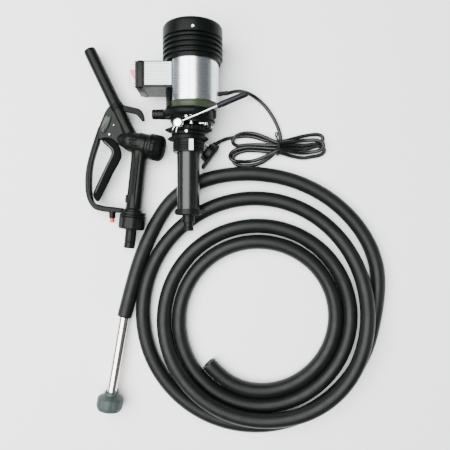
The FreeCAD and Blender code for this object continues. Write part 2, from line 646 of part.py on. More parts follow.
# ---------------------------------------------------------------- switch box
def switch_box():
    outer = block("box_outer", ("box_x", "box_low_y", "box_floor_z"),
                  ("motor_x", "box_top_y", "box_roof_z"))
    inner = block("box_inner", ("box_x - 1", "box_low_y + box_skin", "box_floor_z + box_skin"),
                  ("motor_x", "box_top_y - box_skin", "box_roof_z - box_skin - 1"))
    hollow = without("box_hollow", outer, [inner])
    wall = block("box_wall", ("motor_x - 50", "box_low_y", "box_floor_z"),
                 ("motor_x", "box_top_y", "box_roof_z"))
    shell = joined("box_shell", [hollow, wall])
    around = cylinder("box_saddle", "barrel_rad + wrap_thick", "100",
                      facing((dim("motor_x"), 200, dim("axis_z")), Y_AXIS))
    seat = block("box_plate_seat", ("box_x + 3", "box_low_y + 4", "box_roof_z - 0.8"),
                 ("motor_x - 34", "box_top_y - 1.5", "box_roof_z + 1"))
    gone = block("box_far_side", ("motor_x - 30.5", "box_low_y - 1", "box_floor_z - 1"),
                 ("motor_x + 1", "box_top_y + 1", "box_roof_z + 1"))
    node(without("switch_box", shell, [around, seat, gone]), "switch_box")
    node(block("box_plate", ("box_x + 3.2", "box_low_y + 4.2", "box_roof_z - 0.8"),
               ("motor_x - 34.2", "box_top_y - 1.7", "box_roof_z")), "box_plate")

    lid = block("lid_block", ("box_x - lid_thick", "box_low_y - lid_lip", "box_floor_z - lid_lip"),
                ("box_x", "box_top_y + lid_lip", "box_roof_z + lid_lip"))
    pocket = block("lid_pocket", ("box_x - lid_thick + 3", "box_low_y + 3", "box_floor_z + 3"),
                   ("box_x + 1", "box_top_y - 3", "box_roof_z - 3"))
    window = block("lid_window", ("box_x - lid_thick - 1", "switch_y - 12.5", "switch_z - 18"),
                   ("box_x - lid_thick + 4", "switch_y + 12.5", "switch_z + 18"))
    holes = lid_screw_set("lid_hole", "1.6", "-1", "lid_thick + 2")
    node(without("box_lid", lid, [pocket, window] + holes), "box_lid")
    heads = lid_screw_set("lid_head", "3.2", "-2", "2")
    stems = lid_screw_set("lid_stem", "1.6", "-0.5", "lid_thick")
    screws = [joined(f"lid_screw_{index}", list(pair))
              for index, pair in enumerate(zip(heads, stems))]
    node(group("lid_screws", screws), "lid_screws")

    frame = block("rocker_frame_block", ("box_x - lid_thick - 2", "switch_y - 14.5", "switch_z - 20"),
                  ("box_x - lid_thick", "switch_y + 14.5", "switch_z + 20"))
    barrel = block("rocker_frame_barrel", ("box_x - lid_thick - 1", "switch_y - 12.5", "switch_z - 18"),
                   ("box_x + 6", "switch_y + 12.5", "switch_z + 18"))
    hollow = block("rocker_frame_hollow", ("box_x - lid_thick - 3", "switch_y - 10.5", "switch_z - 16"),
                   ("box_x + 4", "switch_y + 10.5", "switch_z + 16"))
    body = joined("rocker_frame_solid", [frame, barrel])
    pivot = (dim("box_x") - dim("lid_thick") + 1, dim("switch_y"), dim("switch_z") - 17.5)
    seats = cylinder("rocker_seats", "trunnion_rad + run_fit", "35", facing(pivot, Z_AXIS))
    node(without("rocker_frame", body, [hollow, seats]), "rocker_frame")
    rocker = [("-9.2", "-4"), ("9.2", "-4"), ("9.2", "9.8"), ("1", "3.8"), ("-4", "2.4"),
              ("-9.2", "3")]
    foot = V(dim("box_x") - dim("lid_thick"), dim("switch_y"), dim("switch_z") - 14.5)
    rocker_spot = FreeCAD.Placement(foot, FreeCAD.Rotation(Z_AXIS, 90))
    button = plate("rocker_button", rocker, "29", rocker_spot)
    trunnion = cylinder("rocker_trunnion", "trunnion_rad", "34",
                        facing((pivot[0], pivot[1], pivot[2] + 0.5), Z_AXIS))
    node(joined("switch_rocker", [button, trunnion]), "switch_rocker")
    hood_outer = block("hood_outer", ("box_x - lid_thick - 14.5", "switch_y - 16.5", "switch_z - 22"),
                       ("box_x - lid_thick", "switch_y + 16.5", "switch_z + 22"))
    hood_inner = block("hood_inner", ("box_x - lid_thick - 13", "switch_y - 14.5", "switch_z - 20"),
                       ("box_x - lid_thick + 1", "switch_y + 14.5", "switch_z + 20"))
    node(without("switch_hood", hood_outer, [hood_inner]), "switch_hood")
    node(cylinder("run_capacitor", "12", "36",
                  facing((dim("box_x") + 20, dim("box_low_y") + 4.5, 61), Y_AXIS)), "run_capacitor")


def lid_screw_set(name, radius, depth, length):
    items = []
    for index, (station, height) in enumerate(((237.5, 27), (276.5, 27), (237.5, 82), (276.5, 82))):
        start = (dim("box_x") - dim("lid_thick") + number(depth), station, height)
        items.append(cylinder(f"{name}_{index}", radius, length, facing(start, X_AXIS)))
    return items


# ---------------------------------------------------------------- nozzle
def nozzle_frame(x, y, degrees, height=None):
    """Local +Y along a direction given in degrees from +X, at the nozzle's middle plane."""
    level = dim("nozzle_z") if height is None else height
    return facing((x, y, level), direction(degrees))


def nozzle_body():
    up = 90 - dim("handle_angle")
    foot = (dim("handle_foot_x"), dim("handle_foot_y"))
    handle_at = nozzle_frame(*foot, up)
    handle = turned("handle_bar", [(0, 0), ("handle_rad", 0), ("handle_rad", "handle_long"),
                                   (0, "handle_long")], handle_at)
    chamber_at = nozzle_frame(dim("chamber_x"), dim("chamber_y"), dim("cap_angle"))
    chamber = turned("chamber_bar", [(0, 0), ("chamber_wall_rad - 3", 0), ("chamber_wall_rad", 4),
                                     ("chamber_wall_rad", 34), (0, 34)], chamber_at)
    spout_at = nozzle_frame(dim("spout_x"), dim("spout_y"), 90 + dim("spout_angle"))
    boss = turned("spout_boss", [(0, -24), (15, -24), (15, 2), (0, 2)], spout_at)
    level = dim("nozzle_z") - dim("web_thick") / 2
    web = plate("trigger_web", [(-226, 160), (-184, 140), (-168, 150), (-170, 172), (-186, 182),
                                (-222, 184), (-230, 176)], "web_thick",
                FreeCAD.Placement(V(0, 0, level), FreeCAD.Rotation()))
    foot_collar = turned("handle_foot_ring", [(0, -21.6), ("spigot_thread", -21.6),
                                              ("spigot_thread", 0), (16.5, 0), (16.5, 4.5),
                                              (0, 4.5)], handle_at)
    rack = []
    for index in range(3):
        spot = V(-184.0 + 0.5 * index, 42 + 5.0 * index, dim("nozzle_z") - 3)
        rack.append(plate(f"rack_tooth_{index}", [(0, 0), (5, -1.5), (5, 4), (1.5, 3)], "6",
                          FreeCAD.Placement(spot, FreeCAD.Rotation())))
    body = joined("nozzle_solid", [handle, chamber, boss, web, foot_collar] + rack)

    bore = turned("handle_bore", [(0, -23), (8, -23), (8, "handle_long - 8"),
                                  (0, "handle_long - 8")], handle_at)
    room = turned("chamber_room", [(0, 6), ("chamber_hole_rad", 6), ("chamber_hole_rad", 34),
                                   (26, 34), (26, 62), (0, 62)], chamber_at)
    along = direction(dim("cap_angle"))
    stem_hole = cylinder("stem_hole", "3 + run_fit", "18",
                         nozzle_frame(dim("chamber_x") - 8 * along.x, dim("chamber_y") - 8 * along.y,
                                      dim("cap_angle")))
    passage = turned("spout_passage", [(0, -20), ("spout_bore", -20), ("spout_bore", -8),
                                       ("spout_root", -8), ("spout_root", 40), (0, 40)], spout_at)
    slot = plate("trigger_slot", [(-240, 150), (-214, 138), (-186, 128), (-179.5, 148),
                                  (-179.5, 161), (-192, 166), (-198, 176), (-222, 179),
                                  (-236, 178)],
                 "trigger_thick + 1",
                 FreeCAD.Placement(V(0, 0, dim("nozzle_z") - dim("trigger_thick") / 2 - 0.5),
                                   FreeCAD.Rotation()))
    pin_hole = cylinder("pin_hole", "2.5", "40", facing((-209.4, 164.7, 0), Z_AXIS))
    node(without("nozzle_body", body, [bore, room, stem_hole, passage, slot, pin_hole]),
         "nozzle_body")
    tube = turned("spout_tube", [("spout_bore", -8), ("spout_root", -8),
                                 ("spout_root", "spout_step"), ("spout_rad", "spout_step + 0.5"),
                                 ("spout_rad", "spout_long - 2"),
                                 ("spout_rad - 0.8", "spout_long"), ("spout_bore", "spout_long")],
                  spout_at)
    node(tube, "spout")
    clip = turned("hook_clip", [("spout_root", 47), (15, 47), (15, 56), ("spout_root", 56)],
                  spout_at)
    arm = solid("hook_arm", flat_band([(-192, 219.5, dim("nozzle_z")),
                                       (-178, 211.0, dim("nozzle_z")),
                                       (-160, 210.5, dim("nozzle_z")),
                                       (-147.5, 189.2, dim("nozzle_z"))], 7.5, 7))
    bore_room = cylinder("hook_bore", "spout_root", "100",
                         nozzle_frame(dim("spout_x"), dim("spout_y"), 90 + dim("spout_angle")))
    node(without("spout_hook", joined("hook_solid", [clip, arm]), [bore_room]), "spout_hook")


def nozzle_guard():
    level = dim("nozzle_z")
    path = [(-222, 173, level), (-232, 162, level), (-242, 128, level), (-249.2, 90, level),
            (-249.2, 66, level), (-243.5, 44, level), (-228, 34.2, level), (-183, 32.8, level)]
    bow = solid("guard_band", flat_band(path, dim("guard_wide"), dim("guard_thick")))
    latch_tube = cylinder("latch_tube", "5.8", "17",
                          facing((dim("latch_x"), 12.6, level), Y_AXIS))
    band = joined("guard_bow", [bow, latch_tube])
    web_room = plate("guard_web_room", [(-226, 160), (-184, 140), (-168, 150), (-170, 172),
                                        (-186, 182), (-222, 184), (-230, 176)], "30",
                     FreeCAD.Placement(V(0, 0, level - 15), FreeCAD.Rotation()))
    foot_room = cylinder("guard_foot_room", "16.5", "4.5",
                         nozzle_frame(dim("handle_foot_x"), dim("handle_foot_y"),
                                      90 - dim("handle_angle")))
    bar_room = cylinder("guard_bar_room", "handle_rad", "40",
                        nozzle_frame(dim("handle_foot_x"), dim("handle_foot_y"),
                                     90 - dim("handle_angle")))
    button_room = turned("guard_button_room", [(0, 0), (4.35, 0), (4.35, 27.5), (3.05, 27.5),
                                               (3.05, 60), (0, 60)],
                         facing((dim("latch_x"), 0, level), Y_AXIS))
    node(without("trigger_guard", band, [web_room, foot_room, bar_room, button_room]),
         "trigger_guard")


def nozzle_moving():
    level = dim("nozzle_z")
    pivot = (-209.4, 164.7, level)
    path = [pivot, (-197, 143, level), (-203, 124, level), (-227, 68, level), (-232.5, 54, level)]
    lever = solid("trigger_lever", flat_band(path, dim("trigger_wide"), dim("trigger_thick")))
    eye = cylinder("trigger_eye", "7", "trigger_thick",
                   facing((pivot[0], pivot[1], level - dim("trigger_thick") / 2), Z_AXIS))
    nose = cylinder("trigger_nose", "4.5", "trigger_thick",
                    facing((-190, 150, level - dim("trigger_thick") / 2), Z_AXIS))
    hole = cylinder("trigger_hole", "2.5 + run_fit", "40", facing((pivot[0], pivot[1], 0), Z_AXIS))
    node(without("trigger", joined("trigger_solid", [lever, eye, nose]), [hole]), "trigger")
    node(cylinder("trigger_pin", "2.5", "web_thick",
                  facing((pivot[0], pivot[1], level - dim("web_thick") / 2), Z_AXIS)),
         "trigger_pin")

    chamber_at = nozzle_frame(dim("chamber_x"), dim("chamber_y"), dim("cap_angle"))
    poppet = [(0, -7), (3, -7), (3, 9), (12.5, 10.5), (12.5, 14), (3, 15), (3, 24), (0, 24)]
    node(turned("valve_poppet", poppet, chamber_at), "valve_poppet")
    spring = ring("10", "8", 17.4, 38)
    node(turned("valve_spring", spring, chamber_at), "valve_spring")
    cap = [(0, 38), ("chamber_hole_rad", 38), ("chamber_hole_rad", 34), (21.5, 34), (21.5, 38),
           ("valve_cap_rad - 1", 40), ("valve_cap_rad - 1", 44), ("valve_cap_rad", 45.5),
           ("valve_cap_rad", 62), ("valve_cap_rad - 2", 65), (18, 66.5), (17, 65), (0, 65)]
    node(turned("valve_cap", cap, chamber_at), "valve_cap")

    foot_at = nozzle_frame(dim("handle_foot_x"), dim("handle_foot_y"), 90 - dim("handle_angle"))
    nut = [("tail_root", -32), ("nut_rad - 1.5", -32), ("nut_rad", -30.5), ("nut_rad", -9),
           ("nut_rad - 1.2", -8), ("nut_rad - 1.2", -5), ("nut_rad", -4), ("nut_rad", -0.4),
           (17, -0.4), (17, -28), ("tail_root", -28)]
    node(turned("union_nut", nut, foot_at), "union_nut")
    tail = [("tail_bore", -66.5), ("tail_rad - 1", -66.5), ("tail_rad", -65), ("tail_rad", -56),
            ("tail_rad - 0.8", -55.4), ("tail_rad", -54), ("tail_rad", -34),
            ("tail_root", -33.5), ("tail_root", -28), (16.8, -28), (16.8, -22), ("tail_bore", -22)]
    node(turned("nozzle_tail", tail, foot_at), "nozzle_tail")
    button = [(0, 4.4), (3.4, 4.4), (4.3, 5.4), (4.3, 18), (3, 18), (3, 37), (0, 37)]
    node(turned("latch_button", button, facing((dim("latch_x"), 0, level), Y_AXIS)),
         "latch_button")


# ---------------------------------------------------------------- suction tube and its foot
def suction_tube():
    rise = (dim("foot_rad") - dim("hose_rad")) / (dim("steel_long") + 6)
    lean = V(-22.5, -145, 0).normalize()
    along = V(lean.x, lean.y, rise).normalize()
    start = (dim("steel_x"), dim("steel_y"), dim("hose_rad"))
    at = facing(start, along)
    pipe = ring("steel_rad", "steel_bore", "-24", "steel_long")
    node(turned("suction_tube", pipe, at), "suction_tube")
    low, high = "steel_long - 6", "steel_long - 6 + foot_long"
    foot = [("steel_rad", low), (13, low), (13, f"{low} + 6"), (17, f"{low} + 6.5"),
            ("foot_rad - 2.5", f"{low} + 8"), ("foot_rad", f"{low} + 12"),
            ("foot_rad", f"{high} - 7"), ("foot_rad - 4", high), (17, high),
            (17, f"{low} + 12"), (10, f"{low} + 9"), ("steel_rad", f"{low} + 7")]
    bars = [turned("foot_shell", foot, at)]
    for index in range(2):
        bar = block(f"foot_bar_{index}", ("-18.5", f"{high} - 2.5", "-1.5"),
                    ("18.5", f"{high} - 0.5", "1.5"))
        spin = FreeCAD.Rotation(Y_AXIS, index * 90)
        bar.Placement = at.multiply(FreeCAD.Placement(V(), spin)).multiply(bar.Placement)
        bars.append(bar)
    shell = joined("foot_caged", bars)
    slots = []
    for index in range(6):
        slot = block(f"foot_slot_{index}", ("-2", f"{low} + 14", "14"),
                     ("2", f"{high} - 9", "foot_rad + 4"))
        spin = FreeCAD.Rotation(Y_AXIS, index * 60)
        slot.Placement = at.multiply(FreeCAD.Placement(V(), spin)).multiply(slot.Placement)
        slots.append(slot)
    node(without("strainer_foot", shell, slots), "strainer_foot")
    ball = doc.addObject("Part::Sphere", "foot_ball")
    ball.Radius = 11
    ball.Placement = at.multiply(FreeCAD.Placement(V(0, number(f"{low} + 18"), 0),
                                                   FreeCAD.Rotation()))
    node(ball, "foot_ball")


# ---------------------------------------------------------------- suction hose
def suction_hose():
    centre = V(dim("coil_x"), dim("coil_y"), 0)
    flat = turned("coil_ring", ring("coil_outer", "coil_inner", 0, "2 * hose_rad"),
                  facing(tuple(centre), Z_AXIS))
    crest = doc.addObject("Part::Torus", "coil_crest_turn")
    crest.Radius1 = dim("coil_crest")
    crest.setExpression("Radius1", "dims.coil_crest")
    crest.Radius2 = dim("hose_rad")
    crest.setExpression("Radius2", "dims.hose_rad")
    crest.Angle3 = 150
    crest.Placement = FreeCAD.Placement(centre + V(0, 0, dim("coil_crest_z")),
                                        FreeCAD.Rotation(Z_AXIS, -132))
    node(joined("hose_coil", [flat, crest]), "hose_coil")
    level = dim("hose_rad")
    run = [(286, -98), (274, -47), (248, -2), (211, 37), (166, 67), (115, 87), (60, 95.5), (13, 94.5),
           (-31, 86.5), (-73, 68.5), (-106.5, 38.5), (-132.5, -5), (-157, -60), (-174.5, -121),
           (dim("steel_x"), dim("steel_y"))]
    bar = round_tube("hose_run", [(x, y, level) for x, y in run], dim("hose_rad"), report=True)
    bore = cylinder("hose_socket", "steel_rad", "30",
                    facing((dim("steel_x"), dim("steel_y"), level), V(22.5, 145, 0)))
    node(without("hose_run", solid("hose_bar", bar), [bore]), "hose_run")


# ---------------------------------------------------------------- mains lead
def mains_lead():
    gland_at = facing((dim("motor_x") + 43.8, 234.5, 45), X_AXIS)
    gland = [("cord_rad", 0), (8, 0), (8, 4), (5.5, 4.5), (4.4, 20), ("cord_rad", 20)]
    saddle = cylinder("gland_saddle", "barrel_rad + wrap_thick", "60",
                      facing((dim("motor_x"), 205, dim("axis_z")), Y_AXIS))
    node(without("cord_gland", turned("gland_boot", gland, gland_at), [saddle]), "cord_gland")
    run = [(-10, 234.5, 45), (7, 234.6, 44.2), (20, 236.5, 36), (31, 238.3, 24), (45, 238, 12.5),
           (60, 232.5, 6), (75, 221, 3.7), (88, 204.5, 3.6), (98, 186.5, 3.6),
           (103.5, 170.5, 3.6), (104.8, 161, 3.6)]
    bar = round_tube("mains_run", run, dim("cord_rad"), report=True)
    node(solid("mains_bar", bar), "mains_run")

    hank = [(105.5, 160.5), (92, 161.5), (70, 173), (44, 177), (24, 170), (15, 160), (9.5, 139),
            (14, 127), (26, 117), (43, 112), (62, 117), (84, 131), (99, 140), (116, 138),
            (136, 128), (152, 124.5), (172, 133), (184.5, 147), (176, 163), (160, 171.5),
            (136, 169), (116, 160.5)]
    node(plate("mains_hank", hank, "hank_thick", FreeCAD.Placement()), "mains_hank")
    tie = block("tie_strap", (96, 136, 0), (101, 163, "hank_thick + 1.2"))
    tie_room = block("tie_room", (95, 137.4, -1), (102, 161.6, "hank_thick"))
    node(without("hank_tie", tie, [tie_room]), "hank_tie")
    lead = [(16, 162.5, 3.7), (5, 161.6, 4.3), (-5, 158.2, 6.2), (-16.6, 151.2, 10)]
    bar = round_tube("plug_lead", lead, dim("cord_rad"), report=True)
    node(solid("plug_lead_bar", bar), "plug_lead")


def mains_plug():
    along = V(-0.794, 0.607, 0).normalize()
    side = V(-along.y, along.x, 0) * -1
    level = dim("plug_z")
    back = V(-28.7, 125.0, level)
    face_at = facing(tuple(back + side * dim("plug_shift")), along)
    front = turned("plug_front", [(0, 0), ("plug_rad", 0), ("plug_rad", "plug_deep - 1.5"),
                                  ("plug_rad - 1.5", "plug_deep"), (0, "plug_deep")], face_at)
    # The flat back of the angled plug, standing on edge, longer than the round front.
    turn = FreeCAD.Rotation(side, V(0, 0, 1).cross(side), Z_AXIS, "XZY")
    slab = plate("plug_slab", [(-25, 0), (22, 0), (26, -1.5), (26, -4), (20, -5), (-21, -5),
                               (-25, -3)], "24",
                 FreeCAD.Placement(back - Z_AXIS * 12, turn))
    sleeve = turned("plug_sleeve", [(0, -4), (6, -4), (6, 0), (4.6, 12), (0, 12)],
                    facing((-27.0, 143.4, 10), V(0.8, 0.6, 0)))
    node(joined("plug_body", [front, slab, sleeve]), "plug_body")
    pins = []
    for index, offset in enumerate((-9.5, 9.5)):
        spot = back + along * dim("plug_deep") + side * (dim("plug_shift") + offset)
        pins.append(turned(f"plug_pin_{index}", [(0, 0), (2.4, 0), (2.4, 17.5), (1.4, 19), (0, 19)],
                           facing(tuple(spot), along)))
    node(group("plug_pins", pins), "plug_pins")


motor_cowl()
motor_case()
motor_insides()
pump_head()
neck_and_rings()
bung_and_tube()
flow_lever()
lever_parts()
switch_box()
nozzle_body()
nozzle_guard()
nozzle_moving()
suction_tube()
suction_hose()
mains_lead()
mains_plug()
doc.recompute()

# ---------------------------------------------------------------- checks and files
for item in doc.Objects:
    if any(flag in ("Invalid", "Error") for flag in item.State):
        raise RuntimeError(f"{item.Name}: {item.State}")
for item in NODES:
    shape = item.Shape
    if shape.isNull() or not shape.isValid() or not shape.Solids or shape.Volume <= 0:
        raise RuntimeError(f"{item.Label} has no valid solid")

os.makedirs("parts", exist_ok=True)
for item in NODES:
    item.Shape.exportStep(f"parts/{item.Label}.step")
print(f"{len(NODES)} nodes")
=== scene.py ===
import json
from math import cos, pi, radians, sin, sqrt

import bmesh
import bpy
import numpy as np
from mathutils import Matrix, Vector


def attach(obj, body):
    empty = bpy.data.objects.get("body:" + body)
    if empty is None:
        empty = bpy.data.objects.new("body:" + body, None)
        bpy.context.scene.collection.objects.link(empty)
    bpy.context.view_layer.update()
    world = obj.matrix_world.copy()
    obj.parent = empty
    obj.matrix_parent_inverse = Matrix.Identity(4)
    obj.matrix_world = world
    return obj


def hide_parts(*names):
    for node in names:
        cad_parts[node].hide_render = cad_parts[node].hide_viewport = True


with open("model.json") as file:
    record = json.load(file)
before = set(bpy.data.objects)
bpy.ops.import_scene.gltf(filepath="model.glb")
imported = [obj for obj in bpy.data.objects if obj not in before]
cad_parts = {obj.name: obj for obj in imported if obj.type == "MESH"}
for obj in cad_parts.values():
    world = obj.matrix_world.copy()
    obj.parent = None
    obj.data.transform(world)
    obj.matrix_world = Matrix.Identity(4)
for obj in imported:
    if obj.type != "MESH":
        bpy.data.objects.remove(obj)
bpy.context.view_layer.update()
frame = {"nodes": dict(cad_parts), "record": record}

# P moves a point to the frame.
ORIGIN_X, ORIGIN_Y = -108.84, 1.53
MILLIMETRES = Matrix.Scale(0.001, 4)


def P(x, y, z):
    return Vector(((x - ORIGIN_X) / 1000, (y - ORIGIN_Y) / 1000, z / 1000))


def add(name, data):
    item = bpy.data.objects.new(name, data)
    bpy.context.scene.collection.objects.link(item)
    return item


def fill(node, **values):
    """Constants on a node's sockets; an underscore stands for a space in a socket's name."""
    for socket, value in values.items():
        node.inputs[socket.replace("_", " ")].default_value = value
    return node


# -------------------------------- camera, light and floor
CAMERA_HEIGHT = 869.0
FOCAL_LENGTH, SENSOR_WIDTH = 36.88, 36.0
FLOOR_REACH, FLOOR_DROP = 6.0, 0.0006


def camera_and_room():
    camera = bpy.data.cameras.new("camera")
    camera.sensor_width = SENSOR_WIDTH
    camera.lens = FOCAL_LENGTH
    camera.clip_start = 0.02
    holder = add("camera", camera)
    holder.location = P(0, 0, CAMERA_HEIGHT)
    bpy.context.scene.camera = holder

    ground = bpy.data.meshes.new("floor")
    ground.from_pydata([(x * FLOOR_REACH, y * FLOOR_REACH, 0)
                        for x, y in ((-1, -1), (1, -1), (1, 1), (-1, 1))], [], [(0, 1, 2, 3)])
    floor = add("floor", ground)
    floor.location.z = -FLOOR_DROP
    floor.data.materials.append(FLOOR)

    def softbox(name, place, target, size, watts, tint):
        lamp = bpy.data.lights.new(name, "AREA")
        lamp.shape = "RECTANGLE"
        lamp.size, lamp.size_y = size
        lamp.energy = watts
        lamp.color = tint
        item = add(name, lamp)
        item.location = place
        item.rotation_mode = "QUATERNION"
        item.rotation_quaternion = (Vector(target) - Vector(place)).to_track_quat("-Z", "Y")

    softbox("overhead", (-0.75, 0.1, 2.0), (-0.1, 0, 0), (3.0, 2.6), 245, (1.0, 1.0, 0.99))
    softbox("side", (1.9, -0.3, 0.55), (0.1, 0, 0), (0.4, 1.6), 8, (0.97, 0.99, 1.0))

    world = bpy.data.worlds.new("studio")
    world.use_nodes = True
    fill(world.node_tree.nodes["Background"], Color=(0.93, 0.97, 1.0, 1), Strength=0.18)
    bpy.context.scene.world = world


# -------------------------------- materials
def finish(name, base, rough=0.45, metallic=0.0, spread=0.18, blotch=40.0, grain=900.0,
           relief=0.15, depth=0.0003, rough_spread=0.12, stretch=None, specular=0.5,
           alpha=1.0, transmission=0.0, ring=None):
    """A moulded, cast or metal surface: blotches in the colour, uneven gloss and fine relief."""
    mat = bpy.data.materials.new(name)
    mat.use_nodes = True
    nodes, links = mat.node_tree.nodes, mat.node_tree.links
    shader = fill(nodes["Principled BSDF"], Metallic=metallic, Specular_IOR_Level=specular,
                  Alpha=alpha, Transmission_Weight=transmission)

    where = nodes.new("ShaderNodeTexCoord").outputs["Object"]
    if stretch:
        mapping = fill(nodes.new("ShaderNodeMapping"), Scale=stretch)
        links.new(where, mapping.inputs["Vector"])
        where = mapping.outputs["Vector"]

    def noise(scale, detail):
        item = fill(nodes.new("ShaderNodeTexNoise"), Scale=scale, Detail=detail)
        links.new(where, item.inputs["Vector"])
        return item.outputs["Fac"]

    def step(operation, value, *constants):
        item = nodes.new("ShaderNodeMath")
        item.operation = operation
        links.new(value, item.inputs[0])
        for constant in constants:
            item.inputs[1].default_value = constant
        return item

    ramp = nodes.new("ShaderNodeValToRGB")
    dark, light = ramp.color_ramp.elements
    dark.position, light.position = 0.32, 0.68
    dark.color = (*[max(0.0, c * (1 - spread)) for c in base], 1)
    light.color = (*[min(1.0, c * (1 + spread)) for c in base], 1)
    links.new(noise(blotch, 3.0), ramp.inputs["Fac"])
    links.new(ramp.outputs["Color"], shader.inputs["Base Color"])

    gloss = fill(nodes.new("ShaderNodeMapRange"), From_Min=0.3, From_Max=0.7,
                 To_Min=max(0.02, rough - rough_spread / 2),
                 To_Max=min(1.0, rough + rough_spread / 2))
    links.new(noise(blotch * 3.1, 4.0), gloss.inputs["Value"])
    links.new(gloss.outputs["Result"], shader.inputs["Roughness"])

    height = noise(grain, 2.0)
    if ring:
        # Fine lines across a hose, from the distance along it.
        pitch, share = ring
        along = nodes.new("ShaderNodeAttribute")
        along.attribute_name = "run"
        turn = step("MULTIPLY", along.outputs["Fac"], 2 * pi / pitch)
        wave = step("SINE", turn.outputs["Value"])
        blend = step("MULTIPLY_ADD", wave.outputs["Value"], share)
        links.new(height, blend.inputs[2])
        height = blend.outputs["Value"]
    bump = fill(nodes.new("ShaderNodeBump"), Strength=relief, Distance=depth)
    links.new(height, bump.inputs["Height"])
    links.new(bump.outputs["Normal"], shader.inputs["Normal"])
    return mat


FLOOR = finish(
    "floor_paper", (0.93, 0.94, 0.95), rough=0.9, spread=0.004, blotch=1.5, grain=300,
    relief=0.02, rough_spread=0.04, specular=0.1)
SLOTS = {
    "black_plastic": finish(
        "moulded_black", (0.0030, 0.0042, 0.0034), rough=0.34, blotch=55, grain=1500, relief=0.22,
        depth=0.0002, specular=0.12),
    "cast_black": finish(
        "cast_black", (0.0030, 0.0042, 0.0034), rough=0.36, blotch=80, grain=700, relief=0.30,
        depth=0.0004, specular=0.07),
    "olive_flange": finish(
        "olive_flange", (0.026, 0.034, 0.019), rough=0.36, metallic=0.1, specular=0.22, blotch=60,
        grain=600, relief=0.2, depth=0.0002),
    "silver_plate": finish(
        "brushed_silver", (0.70, 0.74, 0.78), rough=0.24, metallic=1.0, spread=0.10, blotch=30,
        grain=260, relief=0.05, depth=0.0001, stretch=(1.0, 30.0, 1.0), rough_spread=0.06),
    "steel": finish(
        "bright_steel", (0.62, 0.62, 0.61), rough=0.22, metallic=1.0, spread=0.08, blotch=70,
        relief=0.08),
    "chrome": finish(
        "chrome", (0.90, 0.90, 0.91), rough=0.10, metallic=1.0, spread=0.03, blotch=50, grain=500,
        relief=0.01, rough_spread=0.05),
    "polished_tube": finish(
        "polished_tube", (0.74, 0.71, 0.66), rough=0.16, metallic=1.0, spread=0.06, blotch=50,
        grain=220, relief=0.03, depth=0.0001, stretch=(12.0, 1.0, 12.0), rough_spread=0.08),
    "white_plate": finish(
        "blank_plate", (0.70, 0.73, 0.74), spread=0.03, blotch=90, grain=1200, relief=0.05),
    "red_plastic": finish(
        "red_plastic", (0.62, 0.030, 0.018), rough=0.30, spread=0.10, blotch=90, grain=1400,
        relief=0.06),
    "clear_hood": finish(
        "clear_hood", (0.90, 0.92, 0.93), rough=0.30, spread=0.02, blotch=60, grain=300,
        relief=0.10, alpha=0.09, transmission=0.2),
    "rubber": finish(
        "hose_rubber", (0.0040, 0.0052, 0.0045), rough=0.42, blotch=30, grain=1300, relief=0.35,
        ring=(1.5, 0.22), rough_spread=0.14, specular=0.20),
    "cord_rubber": finish(
        "flex_sheath", (0.0040, 0.0048, 0.0046), rough=0.28, blotch=60, relief=0.12, depth=0.0002,
        specular=0.30),
    "grey_foot": finish(
        "grey_foot", (0.030, 0.044, 0.042), rough=0.52, spread=0.14, blotch=90, grain=1000,
        relief=0.25, specular=0.3),
    "copper": finish(
        "enamelled_copper", (0.45, 0.17, 0.07), rough=0.35, metallic=0.8, blotch=200),
    "iron": finish(
        "laminations", (0.18, 0.18, 0.18), rough=0.55, metallic=0.7, blotch=120,
        stretch=(1.0, 12.0, 1.0)),
    "brass": finish(
        "brass", (0.62, 0.44, 0.16), rough=0.28, metallic=1.0, blotch=80),
    "grip": finish(
        "sleeve_rubber", (0.0060, 0.0060, 0.0085), rough=0.36, blotch=60, specular=0.22),
}

# A lighter grey for a painted highlight: the light line along the trigger's edge.
PAINTED_HIGHLIGHT_GREY = finish(
    "rib_painted_highlight", (0.030, 0.036, 0.031), rough=0.34, blotch=60, grain=600, relief=0.2, specular=0.3)
RULE_GREY = finish(
    "rule_grey", (0.30, 0.33, 0.35), rough=0.5, blotch=200, grain=1500, relief=0.05)
PAD_GREY = finish(
    "pad_grey", (0.036, 0.043, 0.038), rough=0.42, blotch=60, grain=1200, relief=0.2,
    depth=0.0002, specular=0.3)
TUBE_BLACK = finish(
    "tube_black", (0.0036, 0.0046, 0.0040), rough=0.26, blotch=30, grain=260, relief=0.05,
    depth=0.0001, stretch=(14.0, 1.0, 14.0), specular=0.42, rough_spread=0.08)
BRACKET_BLACK = finish(
    "bracket_black", (0.0030, 0.0036, 0.0033), rough=0.7, blotch=70, grain=800, relief=0.3,
    depth=0.0004, specular=0.03)

# Every CAD solid wears its slot's material, also where it's hidden inside.
for part in frame["record"]["subparts"]:
    shown = frame["nodes"][part["node"]]
    shown.data.materials.clear()
    shown.data.materials.append(SLOTS[part["material_slot"]])
frame["nodes"]["riser_tube"].data.materials[0] = TUBE_BLACK
frame["nodes"]["lever_bracket"].data.materials[0] = BRACKET_BLACK


def place(item, body, slot, replaces=(), material=None):
    """A finished piece rides on its body, takes its slot's material and stands for CAD nodes."""
    item.data.materials.append(material or SLOTS[slot])
    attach(item, body)
    if replaces:
        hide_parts(*replaces)
    return item


# -------------------------------- shapes, in layout millimetres
UP = Vector((0, 0, 1))


def aim(x, y, z, along):
    """Frame with its local Y along a direction, and its local Z as near to up as that allows."""
    along = Vector(along).normalized()
    side = along.cross(UP)
    if side.length < 1e-3:
        side = Vector((1, 0, 0))
    side.normalize()
    rows = Matrix((side, along, side.cross(along))).transposed().to_4x4()
    return Matrix.Translation(P(x, y, z)) @ rows @ MILLIMETRES


def heading(x, y, z, degrees):
    turn = radians(degrees)
    return aim(x, y, z, (cos(turn), sin(turn), 0))


FLAT = Matrix.Translation(P(0, 0, 0)) @ MILLIMETRES
